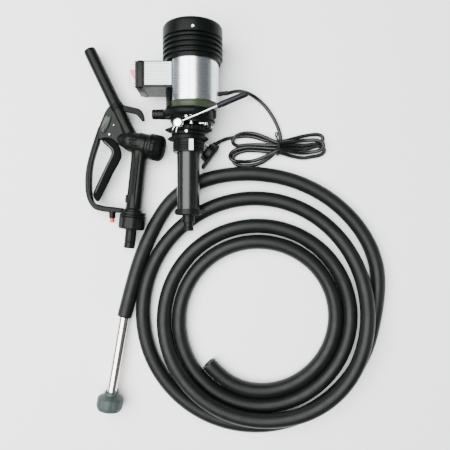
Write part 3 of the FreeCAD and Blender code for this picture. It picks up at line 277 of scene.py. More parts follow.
# Turns a plate so that it's drawn across a frame's Y axis and is thick along it.
ACROSS = Matrix(((1, 0, 0, 0), (0, 0, 1, 0), (0, 1, 0, 0), (0, 0, 0, 1)))


def oblong(low, high):
    return [low, (high[0], low[1]), high, (low[0], high[1])]


def ripple(degrees, count):
    """0 to 1 and back, count times in a turn."""
    return 0.5 - 0.5 * cos(radians(degrees * count))


def quads(low, high, count):
    """Faces between two rings of points, from the numbers of their first points."""
    return [(low + index, low + (index + 1) % count, high + (index + 1) % count, high + index)
            for index in range(count)]


def ring_points(centre, side, other, radius, count):
    """A ring in metres, with its radius in millimetres."""
    turns = [2 * pi * index / count for index in range(count)]
    return [centre + (side * cos(turn) + other * sin(turn)) * radius / 1000
            for turn in turns]


def rounded(points, radius, closed=True, steps=3):
    """The outline with each corner rounded, as far as its neighbours leave room."""
    result = []
    for index, point in enumerate(points):
        here = Vector(point)
        if not closed and index in (0, len(points) - 1):
            result.append(tuple(here))
            continue
        back = Vector(points[index - 1]) - here
        front = Vector(points[(index + 1) % len(points)]) - here
        reach = min(radius, back.length * 0.48, front.length * 0.48)
        start = here + back.normalized() * reach
        end = here + front.normalized() * reach
        for step in range(steps + 1):
            u = step / steps
            result.append(tuple(start * (1 - u) ** 2 + here * 2 * u * (1 - u) + end * u * u))
    return result


def smooth_path(points, steps=6, closed=False):
    """A smooth curve through the points."""
    points = [Vector(point) for point in points]
    count = len(points)
    result = []
    for index in range(count if closed else count - 1):
        if closed:
            a, b, c, d = (points[(index + shift) % count] for shift in (-1, 0, 1, 2))
        else:
            b, c = points[index], points[index + 1]
            a = points[index - 1] if index else b * 2 - c
            d = points[index + 2] if index + 2 < count else c * 2 - b
        for step in range(steps):
            u = step / steps
            result.append((b * 2 + (c - a) * u + (a * 2 - b * 5 + c * 4 - d) * u * u
                           + (b * 3 - a - c * 3 + d) * u ** 3) / 2)
    if not closed:
        result.append(points[-1])
    return result


def lathe(profile, at, sides=72, carve=None, corner=0.5, start=0.0, full=360.0):
    """Points and faces of a (radius, station) profile turned about the frame's Y axis."""
    closed = profile[0][0] > 0 and profile[-1][0] > 0
    profile = rounded(profile, corner, closed=closed)
    whole = full >= 360
    columns = sides if whole else sides + 1
    verts, faces, rows = [], [], []
    for radius, station in profile:
        if radius < 1e-6:
            rows.append([len(verts)] * columns)
            verts.append(at @ Vector((0, station, 0)))
            continue
        rows.append(list(range(len(verts), len(verts) + columns)))
        for index in range(columns):
            degrees = start + full * index / sides
            turn = radians(degrees)
            out = radius + (carve(degrees, station, radius) if carve else 0)
            verts.append(at @ Vector((out * cos(turn), station, out * sin(turn))))
    pairs = list(zip(rows, rows[1:]))
    if closed:
        pairs.append((rows[-1], rows[0]))
    for low, high in pairs:
        for index in range(columns if whole else columns - 1):
            right = (index + 1) % columns
            face = []
            for corner_index in (low[index], low[right], high[right], high[index]):
                if corner_index not in face:
                    face.append(corner_index)
            if len(face) > 2:
                faces.append(face)
    if not whole and closed:
        faces.append([row[0] for row in rows])
        faces.append([row[-1] for row in reversed(rows)])
    return verts, faces


def plate(outline, low, high, at=FLAT, edge=0.8, steps=3):
    """Points and faces of a plate with rounded edges, from a closed outline."""
    outline = [Vector((point[0], point[1])) for point in outline]
    count = len(outline)
    area = sum(outline[i - 1].x * outline[i].y - outline[i].x * outline[i - 1].y
               for i in range(count))
    if area < 0:
        outline.reverse()
    inward = []
    for index in range(count):
        before = (outline[index] - outline[index - 1]).normalized()
        after = (outline[(index + 1) % count] - outline[index]).normalized()
        bend = before + after
        if bend.length < 1e-6:
            bend = after
        bend.normalize()
        share = max(0.5, bend.dot(after))
        inward.append(Vector((-bend.y, bend.x)) / share)
    layers = []
    for step in range(steps + 1):
        turn = pi / 2 * step / steps
        layers.append((edge * (1 - sin(turn)), low + edge * (1 - cos(turn))))
    layers += [(inset, low + high - level) for inset, level in reversed(layers)]
    verts, faces = [], []
    for inset, level in layers:
        for point, normal in zip(outline, inward):
            spot = point + normal * inset
            verts.append(at @ Vector((spot.x, spot.y, level)))
    for layer in range(len(layers) - 1):
        faces += quads(layer * count, (layer + 1) * count, count)
    faces.append(tuple(range(count))[::-1])
    faces.append(tuple((len(layers) - 1) * count + index for index in range(count)))
    return verts, faces


def strip(path, widths, steps=6):
    """Closed outline of a band along a smooth path, with its width given at each point."""
    line = smooth_path([(x, y, w) for (x, y), w in zip(path, widths)], steps)
    left, right = [], []
    for index, point in enumerate(line):
        ahead = line[min(index + 1, len(line) - 1)] - line[max(index - 1, 0)]
        across = Vector((-ahead.y, ahead.x)).normalized() * point.z / 2
        left.append((point.x + across.x, point.y + across.y))
        right.append((point.x - across.x, point.y - across.y))
    return left + right[::-1]


def wire(path, radius, sides=16, closed=False):
    """Points and faces of a round bar along a smooth 3-D path, in layout millimetres."""
    line = [P(*point) for point in smooth_path(path, 8, closed)]
    verts, faces = [], []
    side = UP
    count = len(line)
    for index, here in enumerate(line):
        if closed:
            run = line[(index + 1) % count] - line[index - 1]
        else:
            run = line[min(index + 1, count - 1)] - line[max(index - 1, 0)]
        run.normalize()
        side = side - run * side.dot(run)
        if side.length < 1e-4:
            side = Vector((1, 0, 0)) - run * run.x
        side.normalize()
        verts += ring_points(here, side, run.cross(side), radius, sides)
    for index in range(count if closed else count - 1):
        faces += quads(index * sides, (index + 1) % count * sides, sides)
    if not closed:
        faces.append(tuple(range(sides))[::-1])
        faces.append(tuple((count - 1) * sides + step for step in range(sides)))
    return verts, faces


def shade(mesh, sharp=None):
    mesh.polygons.foreach_set("use_smooth", [True] * len(mesh.polygons))
    if sharp:
        mesh.set_sharp_from_angle(angle=radians(sharp))
    return mesh


def baked(item):
    """The item's evaluated mesh; the item itself goes."""
    mesh = bpy.data.meshes.new_from_object(
        item.evaluated_get(bpy.context.evaluated_depsgraph_get()))
    bpy.data.objects.remove(item)
    return mesh


def clean_mesh(name, shapes, angle=38):
    verts, faces = [], []
    for points, polygons in shapes:
        shift = len(verts)
        verts += points
        faces += [[index + shift for index in polygon] for polygon in polygons]
    mesh = bpy.data.meshes.new(name)
    mesh.from_pydata(verts, [], faces)
    work = bmesh.new()
    work.from_mesh(mesh)
    bmesh.ops.remove_doubles(work, verts=work.verts, dist=1e-7)
    bmesh.ops.recalc_face_normals(work, faces=work.faces)
    work.to_mesh(mesh)
    work.free()
    return shade(mesh, angle)


def piece(name, shapes, body, slot, replaces=(), angle=38, material=None):
    """One finished object from several shapes."""
    return place(add(name, clean_mesh(name, shapes, angle)), body, slot, replaces, material)


def cast_piece(name, shapes, body, slot, replaces=(), voxel=0.8, rounds=4, material=None):
    """Shapes grown together like a casting, with a fillet wherever they meet."""
    rough = add("rough", clean_mesh("rough", shapes))
    remesh = rough.modifiers.new("grow", "REMESH")
    remesh.mode = "VOXEL"
    remesh.voxel_size = voxel * 0.001
    mesh = baked(rough)
    mesh.name = name
    work = bmesh.new()
    work.from_mesh(mesh)
    for _ in range(rounds):
        bmesh.ops.smooth_vert(work, verts=work.verts, factor=0.5, use_axis_x=True,
                              use_axis_y=True, use_axis_z=True)
    work.to_mesh(mesh)
    work.free()
    mesh.materials.clear()
    return place(add(name, shade(mesh)), body, slot, replaces, material)


# -------------------------------- cords
def spline_curve(name, points, radius=0.0):
    curve = bpy.data.curves.new(name, "CURVE")
    curve.dimensions = "3D"
    spline = curve.splines.new("NURBS")
    spline.points.add(len(points) - 1)
    for spot, point in zip(spline.points, points):
        spot.co = (*point, 1.0)
    spline.order_u = 3
    spline.use_endpoint_u = True
    spline.resolution_u = 12
    curve.bevel_depth = radius
    curve.bevel_resolution = 8
    curve.use_fill_caps = True
    return add(name, curve)


def line_of(points):
    """Evaluated points of the route's own NURBS spline."""
    return [v.co.copy() for v in baked(spline_curve("guide", points)).vertices]


def knot_value(knots, at):
    """Smooth value between given (angle, value) knots."""
    for index in range(len(knots) - 1):
        (a, low), (b, high) = knots[index], knots[index + 1]
        if at <= b:
            break
    before = knots[max(index - 1, 0)]
    after = knots[min(index + 2, len(knots) - 1)]
    u = (at - a) / (b - a)
    slope_a = (high - before[1]) / (b - before[0]) * (b - a)
    slope_b = (after[1] - low) / (after[0] - a) * (b - a)
    return ((2 * u ** 3 - 3 * u ** 2 + 1) * low + (u ** 3 - 2 * u ** 2 + u) * slope_a
            + (3 * u ** 2 - 2 * u ** 3) * high + (u ** 3 - u ** 2) * slope_b)


HOSE_RADIUS, HOSE_BORE = 13.5, 9.5
LEAD_RADIUS = 3.4
COIL_X, COIL_Y = 60.0, -168.0
TUBE_END = (-186.5, -170)
# Radius of the wound hose by the angle it has turned from its free end, in degrees.
COIL_RADII = [
    (-136, 126.7), (-90, 139), (0, 145), (90, 136.5), (180, 144.5), (270, 166.2), (360, 172.3),
    (450, 166.5), (540, 172.3), (630, 185), (675, 196.5), (720, 198), (810, 217.5), (900, 212),
    (945, 207), (990, 202.5), (1035, 203.5), (1080, 215.5)]
# Height of its middle where the third turn climbs onto the second and the fourth.
COIL_HEIGHTS = [
    (-136, 13.5), (480, 13.5), (510, 14.5), (540, 19.0), (570, 27.0), (600, 33.0), (630, 35.5),
    (655, 39.5), (680, 40.5), (700, 39.5), (720, 35.5), (745, 25.5), (770, 17.5), (795, 13.5),
    (1080, 13.5)]
HOSE_RUN = [
    (286, -98), (274, -47), (248, -2), (211, 37), (166, 67), (115, 87), (60, 95.5), (13, 94.5),
    (-31, 86.5), (-73, 68.5), (-106.5, 38.5), (-132.5, -5), (-157, -60), (-174.5, -121), TUBE_END]


def hose_route():
    """Control points from the suction tube to the free end inside the coil."""
    step = 20
    # The control points of a curve round a circle lie outside it by this factor.
    spread = 1 / cos(radians(step / 2))
    free_end, free_radius = COIL_RADII[0]

    def coil_point(angle, radius, height):
        turn = radians(angle)
        return P(COIL_X + radius * cos(turn), COIL_Y + radius * sin(turn), height)

    route = [P(x, y, HOSE_RADIUS) for x, y in reversed(HOSE_RUN)]
    for angle in range(COIL_RADII[-1][0], free_end, -step):
        route.append(coil_point(angle, knot_value(COIL_RADII, angle) * spread,
                                max(knot_value(COIL_HEIGHTS, angle), HOSE_RADIUS)))
    route.append(coil_point(free_end, free_radius, HOSE_RADIUS))
    return route


def tube_mesh(name, line, stations, sides=40):
    """A tube along a line; stations are (distance from the start in mm, radius in mm) rings."""
    line = np.array([tuple(p) for p in line])
    legs = np.linalg.norm(np.diff(line, axis=0), axis=1)
    run = np.concatenate([[0], np.cumsum(legs)])
    reach = 0.002

    def spot(s):
        return Vector([np.interp(s, run, line[:, i]) for i in range(3)])

    side = UP
    verts, faces, along = [], [], []
    for count, (distance, radius) in enumerate(stations):
        s = distance / 1000
        forward = (spot(s + reach) - spot(s - reach)).normalized()
        side = (side - forward * side.dot(forward)).normalized()
        verts += ring_points(spot(s), side, forward.cross(side), radius, sides)
        along += [distance] * sides
        if count:
            faces += quads((count - 1) * sides, count * sides, sides)
    mesh = bpy.data.meshes.new(name)
    mesh.from_pydata(verts, [], faces)
    mesh.attributes.new("run", "FLOAT", "POINT").data.foreach_set("value", along)
    return add(name, shade(mesh, 50))


def suction_hose():
    line = line_of(hose_route())
    total = sum((b - a).length for a, b in zip(line, line[1:])) * 1000
    # The hose starts and ends with an open, slightly rounded mouth.
    rings = [(4, 8.9), (0.2, 9.0), (0, 9.6), (0, 12.3), (1.2, 13.2), (3.0, HOSE_RADIUS)]
    rings += [(s, HOSE_RADIUS) for s in np.arange(6, total - 4, 4.0)]
    rings += [(total - 1.2, HOSE_RADIUS), (total - 0.3, 13.2), (total, 12.9), (total, 9.9),
              (total - 0.4, HOSE_BORE), (total - 30, HOSE_BORE)]
    hose = tube_mesh("suction_hose", line, rings)
    place(hose, "root", "rubber", ("hose_coil", "hose_run"))


# The mains lead, from the motor's gland down to the floor, through the tied hank to the plug.
# A point without a height rests on the floor.
LEAD_RUN = [
    (1, 234.5, 45), (8, 236.4, 44), (19, 241.4, 37), (31, 244.8, 25.5), (45, 244, 13.5),
    (60, 237, 6), (75, 224, 3.7), (88, 206, 3.6), (98, 187, 3.6), (103.5, 170.5, 3.5),
    (104.5, 160.5), (102.5, 150), (97, 140.5), (89, 131)]
LOWER_LOOP = [
    (76, 120.6), (60.4, 113.6), (44.1, 110.8), (30, 110.8), (20.6, 113.6), (14.6, 119),
    (14.4, 126.6), (19.6, 133), (29.6, 137.2), (41.5, 139.8), (54.1, 139.6), (70.5, 138.2, 4.6),
    (86, 136.2, 9), (98.5, 135.3, 10.2)]
RIGHT_LOW = [
    (109, 133.2, 9), (119.6, 130, 5.4), (136, 126.6), (148.5, 125.4), (162.4, 128),
    (174.5, 129.6), (183, 133.4), (187.6, 139.4), (184.6, 146), (177, 148.4), (167.6, 147),
    (154.8, 142.6), (138.5, 142.2), (120.8, 143.6, 5.6), (109, 142.6, 9), (98.5, 141.8, 10.2)]
MIDDLE_LOOP = [
    (86, 142.4, 10), (69.2, 144.2, 8), (54.1, 145.0, 7.6), (41.5, 145.2, 7.6), (27.5, 143.4, 6.4),
    (17, 139.8, 4.6), (10.6, 134.4, 5.2), (8.6, 127.4, 7.4), (12.4, 121.4, 9.6),
    (20, 118.4, 10.3), (30, 118.6, 7.4), (41.5, 118.6, 3.8), (56.6, 121, 3.5), (74, 127.2, 7.5),
    (87, 133.2, 15), (98.5, 138.5, 16.6)]
RIGHT_MIDDLE = [
    (110, 138.4, 14.4), (126, 136.6, 8), (144.8, 134.2, 3.8), (161.1, 136.4, 4.4),
    (173.5, 137.6, 9), (181.4, 141.8, 10.4), (184.4, 148.6, 10.4), (180.4, 155, 10.4),
    (170, 158.6, 9.6), (154.8, 158.8, 4.6), (138.5, 157.6, 4.4), (122, 155, 11),
    (110, 152.7, 14.6), (98.5, 151.5, 16.6)]
UPPER_LOOP = [
    (87, 156.6, 15.6), (75.5, 163, 10.8), (59.2, 170, 8), (42.8, 172.2, 7.9), (28.4, 170, 9.6),
    (18.6, 165, 10), (13.6, 157.8, 8), (16, 151, 5), (24, 147.8, 3.6), (37.8, 150.2),
    (54.1, 150.8), (72, 149.9, 5.2), (86, 148.8, 9), (98.5, 148.3, 10.2)]
RIGHT_TOP = [
    (109, 148.9, 9), (120.8, 150.4, 5.6), (138.5, 149.4), (154.8, 150.2), (169.6, 151.4),
    (179.6, 154), (184.6, 160), (182.4, 167), (174.6, 170.2), (162.4, 169.7), (144.8, 166.6),
    (125.9, 161.4, 5.2), (110, 156.4, 9), (98.5, 154.9, 10.2)]
TO_PLUG = [
    (86, 156.4, 8.8), (74, 158.6, 5), (58, 164.6), (42.8, 167), (28, 166), (14, 164),
    (3, 161.6, 4.6), (-7, 157.4, 7.4), (-17.6, 150.5, 10)]


def mains_lead():
    route = (LEAD_RUN + LOWER_LOOP + RIGHT_LOW + MIDDLE_LOOP + RIGHT_MIDDLE + UPPER_LOOP
             + RIGHT_TOP + TO_PLUG)
    route = [P(*point, *[LEAD_RADIUS] * (3 - len(point))) for point in route]
    line = line_of(route)
    lead = spline_curve("mains_lead", route, LEAD_RADIUS / 1000)
    place(lead, "root", "cord_rubber", ("mains_run", "mains_hank", "plug_lead"))
    plug()
    lead_fittings()


# -------------------------------- nozzle
NOZZLE_Z = 24.3
HANDLE = heading(-168.4, 23.8, NOZZLE_Z, 83.8)
CHAMBER_X, CHAMBER_Y, CHAMBER_TURN = -176.5, 153.2, -13
CHAMBER = heading(CHAMBER_X, CHAMBER_Y, NOZZLE_Z, CHAMBER_TURN)
SPOUT = heading(-177.5, 172, NOZZLE_Z, 115.5)
LATCH_X = -206.5


def fade(value, low, high, width):
    """1 between two limits, falling smoothly to 0 outside them."""
    rise = min(max((value - low) / width, 0), 1)
    fall = min(max((high - value) / width, 0), 1)
    share = min(rise, fall)
    return share * share * (3 - 2 * share)


def handle_flutes(degrees, station, _radius):
    turned = abs((degrees + 180) % 360 - 180)
    share = fade(station, 9, 108, 6) * fade(turned, 66, 172, 6)
    return -2.0 * share * ripple(turned - 66, 360 / 21)


def nozzle_casting():
    handle = [
        (0, 2), (13.4, 2), (14.0, 6), (14.2, 40), (14.0, 96), (15.2, 112), (17, 119), (0, 119)]
    chamber = [
        (0, -9), (9, -9), (14.5, -5), (18.2, 3), (19.2, 16), (20.6, 20), (20.6, 33.6), (0, 33.6)]
    boss = [(0, -26), (12.4, -26), (12.6, -6), (12.2, 4), (11.7, 14), (0, 14)]
    web = [(-213, 215), (-221, 197), (-229, 177), (-231.5, 163), (-229, 154), (-220, 158),
           (-211, 158.5), (-203, 155), (-196, 148.5), (-188, 142), (-178, 139.5), (-170, 146),
           (-172, 168), (-186, 184), (-196, 204), (-203, 218)]
    shapes = [lathe(handle, HANDLE, 120, handle_flutes), lathe(chamber, CHAMBER, 96),
              lathe(boss, SPOUT, 96),
              lathe([(0, -1), (16.2, -1), (16.2, 3.4), (14, 6.4), (0, 6.4)], HANDLE, 96),
              plate(rounded(web, 5), 29.7, 32.6, edge=1.0),
              plate(rounded(web, 5), 16.0, 18.9, edge=1.0)]
    # The chamber runs out towards the trigger's pivot as half cones on both sides of the web.
    lean = radians(CHAMBER_TURN)
    cone_radius, cone_slope, least_half = 18.5, 0.45, 0.3
    for index in range(9):
        rise = 6.2 + 1.4 * index
        tip = (rise - cone_radius) / cone_slope
        edge = []
        for u in (tip, tip * 0.8, tip * 0.55, tip * 0.25, 0, 8):
            radius = cone_radius + cone_slope * min(u, 0)
            edge.append((u, sqrt(max(radius ** 2 - rise * rise, least_half ** 2))))
        ring = edge + [(u, -v) for u, v in reversed(edge)]
        wedge = [(CHAMBER_X + u * cos(lean) - v * sin(lean),
                  CHAMBER_Y + u * sin(lean) + v * cos(lean)) for u, v in ring]
        shapes.append(plate(wedge, 29.9, NOZZLE_Z + rise, edge=0.3))
        shapes.append(plate(wedge, NOZZLE_Z - rise, 18.7, edge=0.3))
    # Two raised spines along the top of the chamber, and three teeth on the handle.
    for low, wide in ((152.2, 2.4), (147.2, 3.4)):
        spine = strip([(-171, low), (-162, low - 2), (-153, low - 4)], [wide * 0.6, wide, wide])
        shapes.append(plate(spine, 38, 44.9, edge=1.0))
    for index in range(3):
        foot = 42 + 5 * index
        x = -184.0 + 0.5 * index
        tooth = [(x, foot), (x + 8, foot - 1.5), (x + 8, foot + 4), (x + 1.5, foot + 3)]
        shapes.append(plate(rounded(tooth, 0.6), 20.5, 28.1, edge=0.5))
    cast_piece("nozzle_casting", shapes, "nozzle", "black_plastic", ("nozzle_body",),
               rounds=5)


def guard_bow():
    outer = [
        (-209, 219), (-216.5, 210), (-221.5, 200.5), (-228.6, 183), (-235.6, 165.5),
        (-242, 146.5), (-247.5, 128), (-252, 110), (-254.6, 92), (-255.2, 73), (-253.8, 57),
        (-250, 44), (-244, 34.2), (-236.5, 28), (-225.5, 25), (-211, 23.2), (-186, 21.4)]
    inner = [
        (-185, 30.8), (-201.6, 32.8), (-218, 34.6), (-228, 36.6), (-237.4, 40.2), (-241.8, 49.5),
        (-243.3, 63), (-243.4, 82.5), (-242.2, 100.5), (-239.8, 115.5), (-236.2, 128.5),
        (-232.3, 141), (-229.3, 150.5), (-227.6, 160), (-222.5, 178), (-214, 200), (-206, 215)]
    outline = [tuple(p) for p in smooth_path(outer, 4) + smooth_path(inner, 4)]
    shapes = [plate(outline, 17.8, 30.8, edge=3.2, steps=4)]
    # A raised rim along the bow, and the tube that holds the latch.
    rim = strip([(-229, 177), (-243.5, 130), (-249.6, 92), (-249.2, 66), (-243, 44.5),
                 (-231, 33.5), (-205, 29), (-188, 27)], [3.4, 3.6, 4.0, 4.2, 4.2, 3.6, 3.4, 3.2], 8)
    shapes.append(plate(rim, 30.2, 31.9, edge=0.8))
    sleeve = [(4.6, 0), (5.8, 0), (5.8, 8), (6.4, 10), (6.4, 14), (4.6, 14)]
    shapes.append(lathe(sleeve, heading(LATCH_X, 12.6, NOZZLE_Z, 90)))
    piece("guard_bow", shapes, "nozzle", "black_plastic", ("trigger_guard",))

    pad = strip([(-210.2, 198), (-212, 193.6), (-218.4, 178.4), (-222.6, 168.4)],
                [8.0, 12.0, 12.4, 8.4], 5)
    piece("thumb_rest", [plate(rounded(pad, 4), 31.6, 36.2, edge=3.2, steps=5)], "nozzle",
          "black_plastic", material=PAD_GREY)
    for name, x, y, size in (("pivot_pin", -209.4, 164.7, 2.6), ("stop_pin", -201.6, 180.8, 2.0)):
        head = [(0, 0), (size - 0.8, 0), (size, 1.0), (size, 1.8), (size - 0.6, 2.6),
                (1.0, 2.9), (0.8, 2.5), (0, 2.5)]
        piece(name, [lathe(head, aim(x, y, 32.0, UP), 36, corner=0.25)], "nozzle", "steel",
              ("trigger_pin",) if name == "pivot_pin" else ())


def trigger_lever():
    left = [(-216.6, 171), (-220.6, 163.5), (-225.2, 152.6), (-215.5, 144.2), (-208.8, 137.8),
            (-207.3, 131.5), (-210.2, 123.6), (-216.6, 111), (-225.6, 92), (-235.4, 71.5),
            (-241.2, 58.6)]
    right = [
        (-240.6, 52), (-238.4, 46.6), (-235.2, 43.6), (-231.4, 43.2), (-224.2, 57), (-214.8, 75),
        (-206, 93.5), (-196.4, 110.5), (-190.6, 122.5), (-189.6, 129.8), (-191.6, 138.4),
        (-195.4, 147), (-200, 156), (-201.4, 165), (-205, 171.8), (-211, 173.6)]
    lever = [plate(rounded(left + right, 2.5), 19.8, 28.4, edge=1.8)]
    edge_rib = strip([(-195.8, 141), (-193.6, 130), (-194.8, 122), (-200.4, 109.8),
                      (-209.8, 93), (-219, 76.4), (-228.4, 60)], [1.8] * 7, 6)
    lever.append(plate(edge_rib, 28.0, 29.0, edge=0.45))
    piece("trigger_lever", lever, "trigger", "cast_black", ("trigger",),
          material=BRACKET_BLACK)
    # A raised strip in lighter grey along the trigger's edge: a painted highlight where the edge
    # catches the light.
    rib = strip([(-221, 153.4), (-212.6, 145.8), (-205.6, 138.6), (-203.6, 131.5),
                 (-206.6, 123), (-213.4, 109.5), (-222.2, 90.4), (-231, 71), (-236, 59)],
                [2.6, 2.8, 3.0, 3.0, 2.8, 2.8, 2.6, 2.4, 2.0], 6)
    piece("trigger_rib_highlight", [plate(rib, 28.0, 29.5, edge=0.9)], "trigger", "black_plastic",
          material=PAINTED_HIGHLIGHT_GREY)


def latch():
    at = heading(LATCH_X, 0, NOZZLE_Z, 90)
    tip = [(0, 4.4), (3.2, 4.4), (4.2, 5.8), (4.2, 12.2), (0, 12.2)]
    piece("latch_tip", [lathe(tip, at, 40, corner=0.8)], "latch", "red_plastic",
          ("latch_button",))
    stem = [(0, 12.0), (4.3, 12.0), (4.3, 15), (3, 15.6), (3, 17), (0, 17)]
    piece("latch_stem", [lathe(stem, at, 40)], "latch", "black_plastic")


def hook_and_spout():
    arm = strip([(-207, 213.5), (-192.5, 215), (-179.6, 212.2), (-166.8, 209.2),
                 (-158.4, 206.4), (-153.2, 199.6), (-148.6, 189.8)],
                [10.5, 10.8, 10.8, 11.0, 11.8, 10.4, 5.6], 8)
    saddle = [(11.7, 41.5), (12.7, 43), (12.9, 46), (12.9, 50), (12.6, 53), (11.7, 54.5)]
    brace = strip([(-209, 216.5), (-200, 215.5), (-190, 214.5)], [8, 9, 8])
    shapes = [plate(arm, 21.4, 29.6, edge=2.2), lathe(saddle, SPOUT, 96),
              plate(brace, 19, 34.5, edge=2.4)]
    cast_piece("spout_hook_arm", shapes, "nozzle", "black_plastic", ("spout_hook",), voxel=0.7,
               rounds=3, material=SLOTS["cast_black"])
    tube = [(9, -8), (11.5, -8), (11.5, 60), (11.3, 64), (11.25, 158), (11.0, 162.4),
            (10.2, 164.6), (9.2, 164.6), (8.8, 162.8), (8.8, 120), (9, 60)]
    seam = plate([(0, 18), (0.7, 20), (0.7, 155), (0, 158), (-0.7, 155), (-0.7, 20)], 11.0, 11.7,
                 SPOUT, edge=0.3)
    piece("spout_tube", [lathe(tube, SPOUT, 80, corner=0.8), seam], "nozzle", "black_plastic",
          ("spout",))


def cap_grip(degrees, station, _radius):
    return -0.7 * fade(station, 45, 58, 1.5) * ripple(degrees, 16)


def nut_grip(degrees, station, _radius):
    share = fade(station, -29.5, -10.5, 2.0)
    return -0.9 * share * (0.5 + 0.5 * cos(radians(degrees * 8))) ** 3


def nozzle_rings():
    cap = [(15, 33.7), (20.9, 33.7), (21.4, 35), (21.4, 37.5), (23.0, 39), (23.8, 40),
           (23.8, 43.2), (22.8, 44.2), (24.0, 45.4), (24.0, 49.6), (0, 49.6)]
    piece("valve_cap_ring", [lathe(cap, CHAMBER, 208, cap_grip)], "nozzle", "black_plastic",
          ("valve_cap",))
    face = [(0, 49.4), (24.0, 49.4), (24.0, 56), (23.6, 59), (22.4, 62), (19.8, 64.8),
            (16.4, 66.4), (15.2, 65.8), (14, 66.6), (6, 67.4), (0, 67.6)]
    piece("valve_cap_face", [lathe(face, CHAMBER, 208, cap_grip)], "nozzle", "black_plastic",
          material=BRACKET_BLACK)
    nut = [(10.6, -32), (21.4, -32), (23.4, -30), (23.8, -28), (23.8, -11), (22.4, -9.6),
           (23.9, -8.6), (23.9, -6.8), (22.4, -5.8), (22.4, -4.6), (23.9, -3.6), (23.9, -0.4),
           (17.1, -0.4), (17.1, -28), (10.6, -28)]
    piece("union_nut_ring", [lathe(nut, HANDLE, 144, nut_grip)], "swivel", "black_plastic",
          ("union_nut",))


# -------------------------------- motor and its switch
MOTOR_X, TUBE_X, AXIS_Z = -57.1, -64.8, 53.0
CAP_END = 348.6
MOTOR = heading(MOTOR_X, 0, AXIS_Z, 90)
RISER = heading(TUBE_X, 0, AXIS_Z, 90)


def round_motor(radius, station, turn):
    """The point at a radius and an angle round the motor's axis."""
    return (MOTOR_X + radius * cos(turn), station, AXIS_Z + radius * sin(turn))


def motor_cap():
    profile = [(45.6, 283), (49.2, 283)]
    for index in range(4):
        crest = 292.6 + 8.7 * index
        profile += [(49.0, crest - 3.1), (51.2, crest - 2.7), (53.0, crest - 1.9),
                    (53.0, crest + 1.9), (51.2, crest + 2.7), (49.0, crest + 3.1)]
    profile += [(49.6, 323), (52.2, 323.6), (53.0, 325), (53.0, 341), (52.6, 344.4),
                (51.2, 347), (48.6, 348.4)]
    for ring in (38, 30, 22):
        profile += [
            (ring, CAP_END), (ring - 0.6, 347.8), (ring - 2.4, 347.8), (ring - 3, CAP_END)]
    profile += [(0, CAP_END), (0, 341), (45.6, 341)]
    piece("motor_cap", [lathe(profile, MOTOR, 144, corner=0.7)], "root", "cast_black",
          ("motor_cowl",), angle=50)
    slots = []
    outward = Matrix(((0, 1, 0, 0), (0, 0, 1, 0), (1, 0, 0, 0), (0, 0, 0, 1)))
    for index in range(24):
        turn = radians(15 * index)
        for low, high in ((23, 26.2), (31, 34.2), (39, 44)):
            mid = (low + high) / 2
            at = (Matrix.Translation(P(*round_motor(mid, 348.4, turn)))
                  @ Matrix.Rotation(turn, 4, (0, -1, 0)) @ outward @ MILLIMETRES)
            slots.append(plate(oblong((-1.1, low - mid), (1.1, high - mid)), 0, 0.5, at,
                               edge=0.15))
    piece("cap_vents", slots, "root", "cast_black")


def flange_and_neck():
    ring = [(39, 212), (45.2, 212), (45.5, 211), (45.5, 209.4), (44.6, 208.4), (44.0, 206),
            (42.2, 201.8), (41.2, 200.4), (38.2, 200.4), (38.2, 206)]
    piece("flange_ring", [lathe(ring, MOTOR, 144)], "root", "olive_flange", ("motor_flange",))

    saddle = [(45.2, 203.5), (46.4, 203.5), (47.2, 204.6), (47.2, 235), (45.2, 236)]
    piece("cable_saddle", [lathe(saddle, MOTOR, 30, start=141, full=36)], "root", "cast_black")

    rim = [(37.2, 181), (39.2, 181), (39.6, 181.8), (39.6, 184.2), (39, 185), (37.2, 185)]
    shapes = [lathe(rim, MOTOR, 144),
              wire([(-104, 195.6, 53), (-101.5, 195.6, 61), (-95.5, 195.6, 71), (-86, 195.4, 80.4),
                    (-74, 194.8, 87.2), (-62, 194.4, 90), (-52, 194.4, 90)], 8.0, 28)]
    for index in range(10):
        turn = radians(-20 + 30 * index)
        rib = aim(*round_motor(37, 185, turn), (0, 1, 0))
        rib = rib @ Matrix.Rotation(pi / 2 - turn, 4, "Y")
        shapes.append(plate([(-1.4, 0), (1.4, 0), (1.0, 14), (-1.0, 14)], 0, 2.6, rib, edge=0.6))
    piece("housing_ribs", shapes, "root", "cast_black")

    def ear(side, outline, corner, half, edge):
        points = [(TUBE_X + side * out, station) for out, station in outline]
        return plate(rounded(points, corner), AXIS_Z - half, AXIS_Z + half, edge=edge)

    neck = [(20, 148.5), (31, 148.5), (31, 155), (27.6, 155.6), (27.2, 157), (30, 157.4),
            (30, 162.4), (26.9, 162.8), (26.9, 171.6), (23.4, 172.4), (22.4, 175.9), (20, 175.9)]
    shapes = [lathe(neck, RISER, 144)]
    for side, reach in ((1, 36.0), (-1, 37.0)):
        lug = [(28, 147.6), (32, 148.4), (reach, 151.4), (32, 155.4), (28, 156.6)]
        shapes.append(ear(side, lug, 0.6, 6, 1.2))
    piece("neck_body", shapes, "root", "cast_black", ("pump_neck",))

    def knurl(degrees, station, radius):
        if radius < 30:
            return 0
        return -0.9 * fade(station, 163.6, 170.4, 0.6) * ripple(degrees, 30)

    band = [(27.1, 163), (32.4, 163), (33, 163.6), (33, 170.4), (32.4, 171), (27.1, 171)]
    shapes = [lathe(band, RISER, 240, knurl)]
    for side, reach in ((1, 42.6), (-1, 41.4)):
        wing = [(30, 162.9), (34, 163.6), (reach, 167.6), (34, 171.0), (30, 171.1)]
        shapes.append(ear(side, wing, 0.7, 8, 1.4))
    piece("winged_ring", shapes, "coupling", "cast_black", ("coupling_ring",))


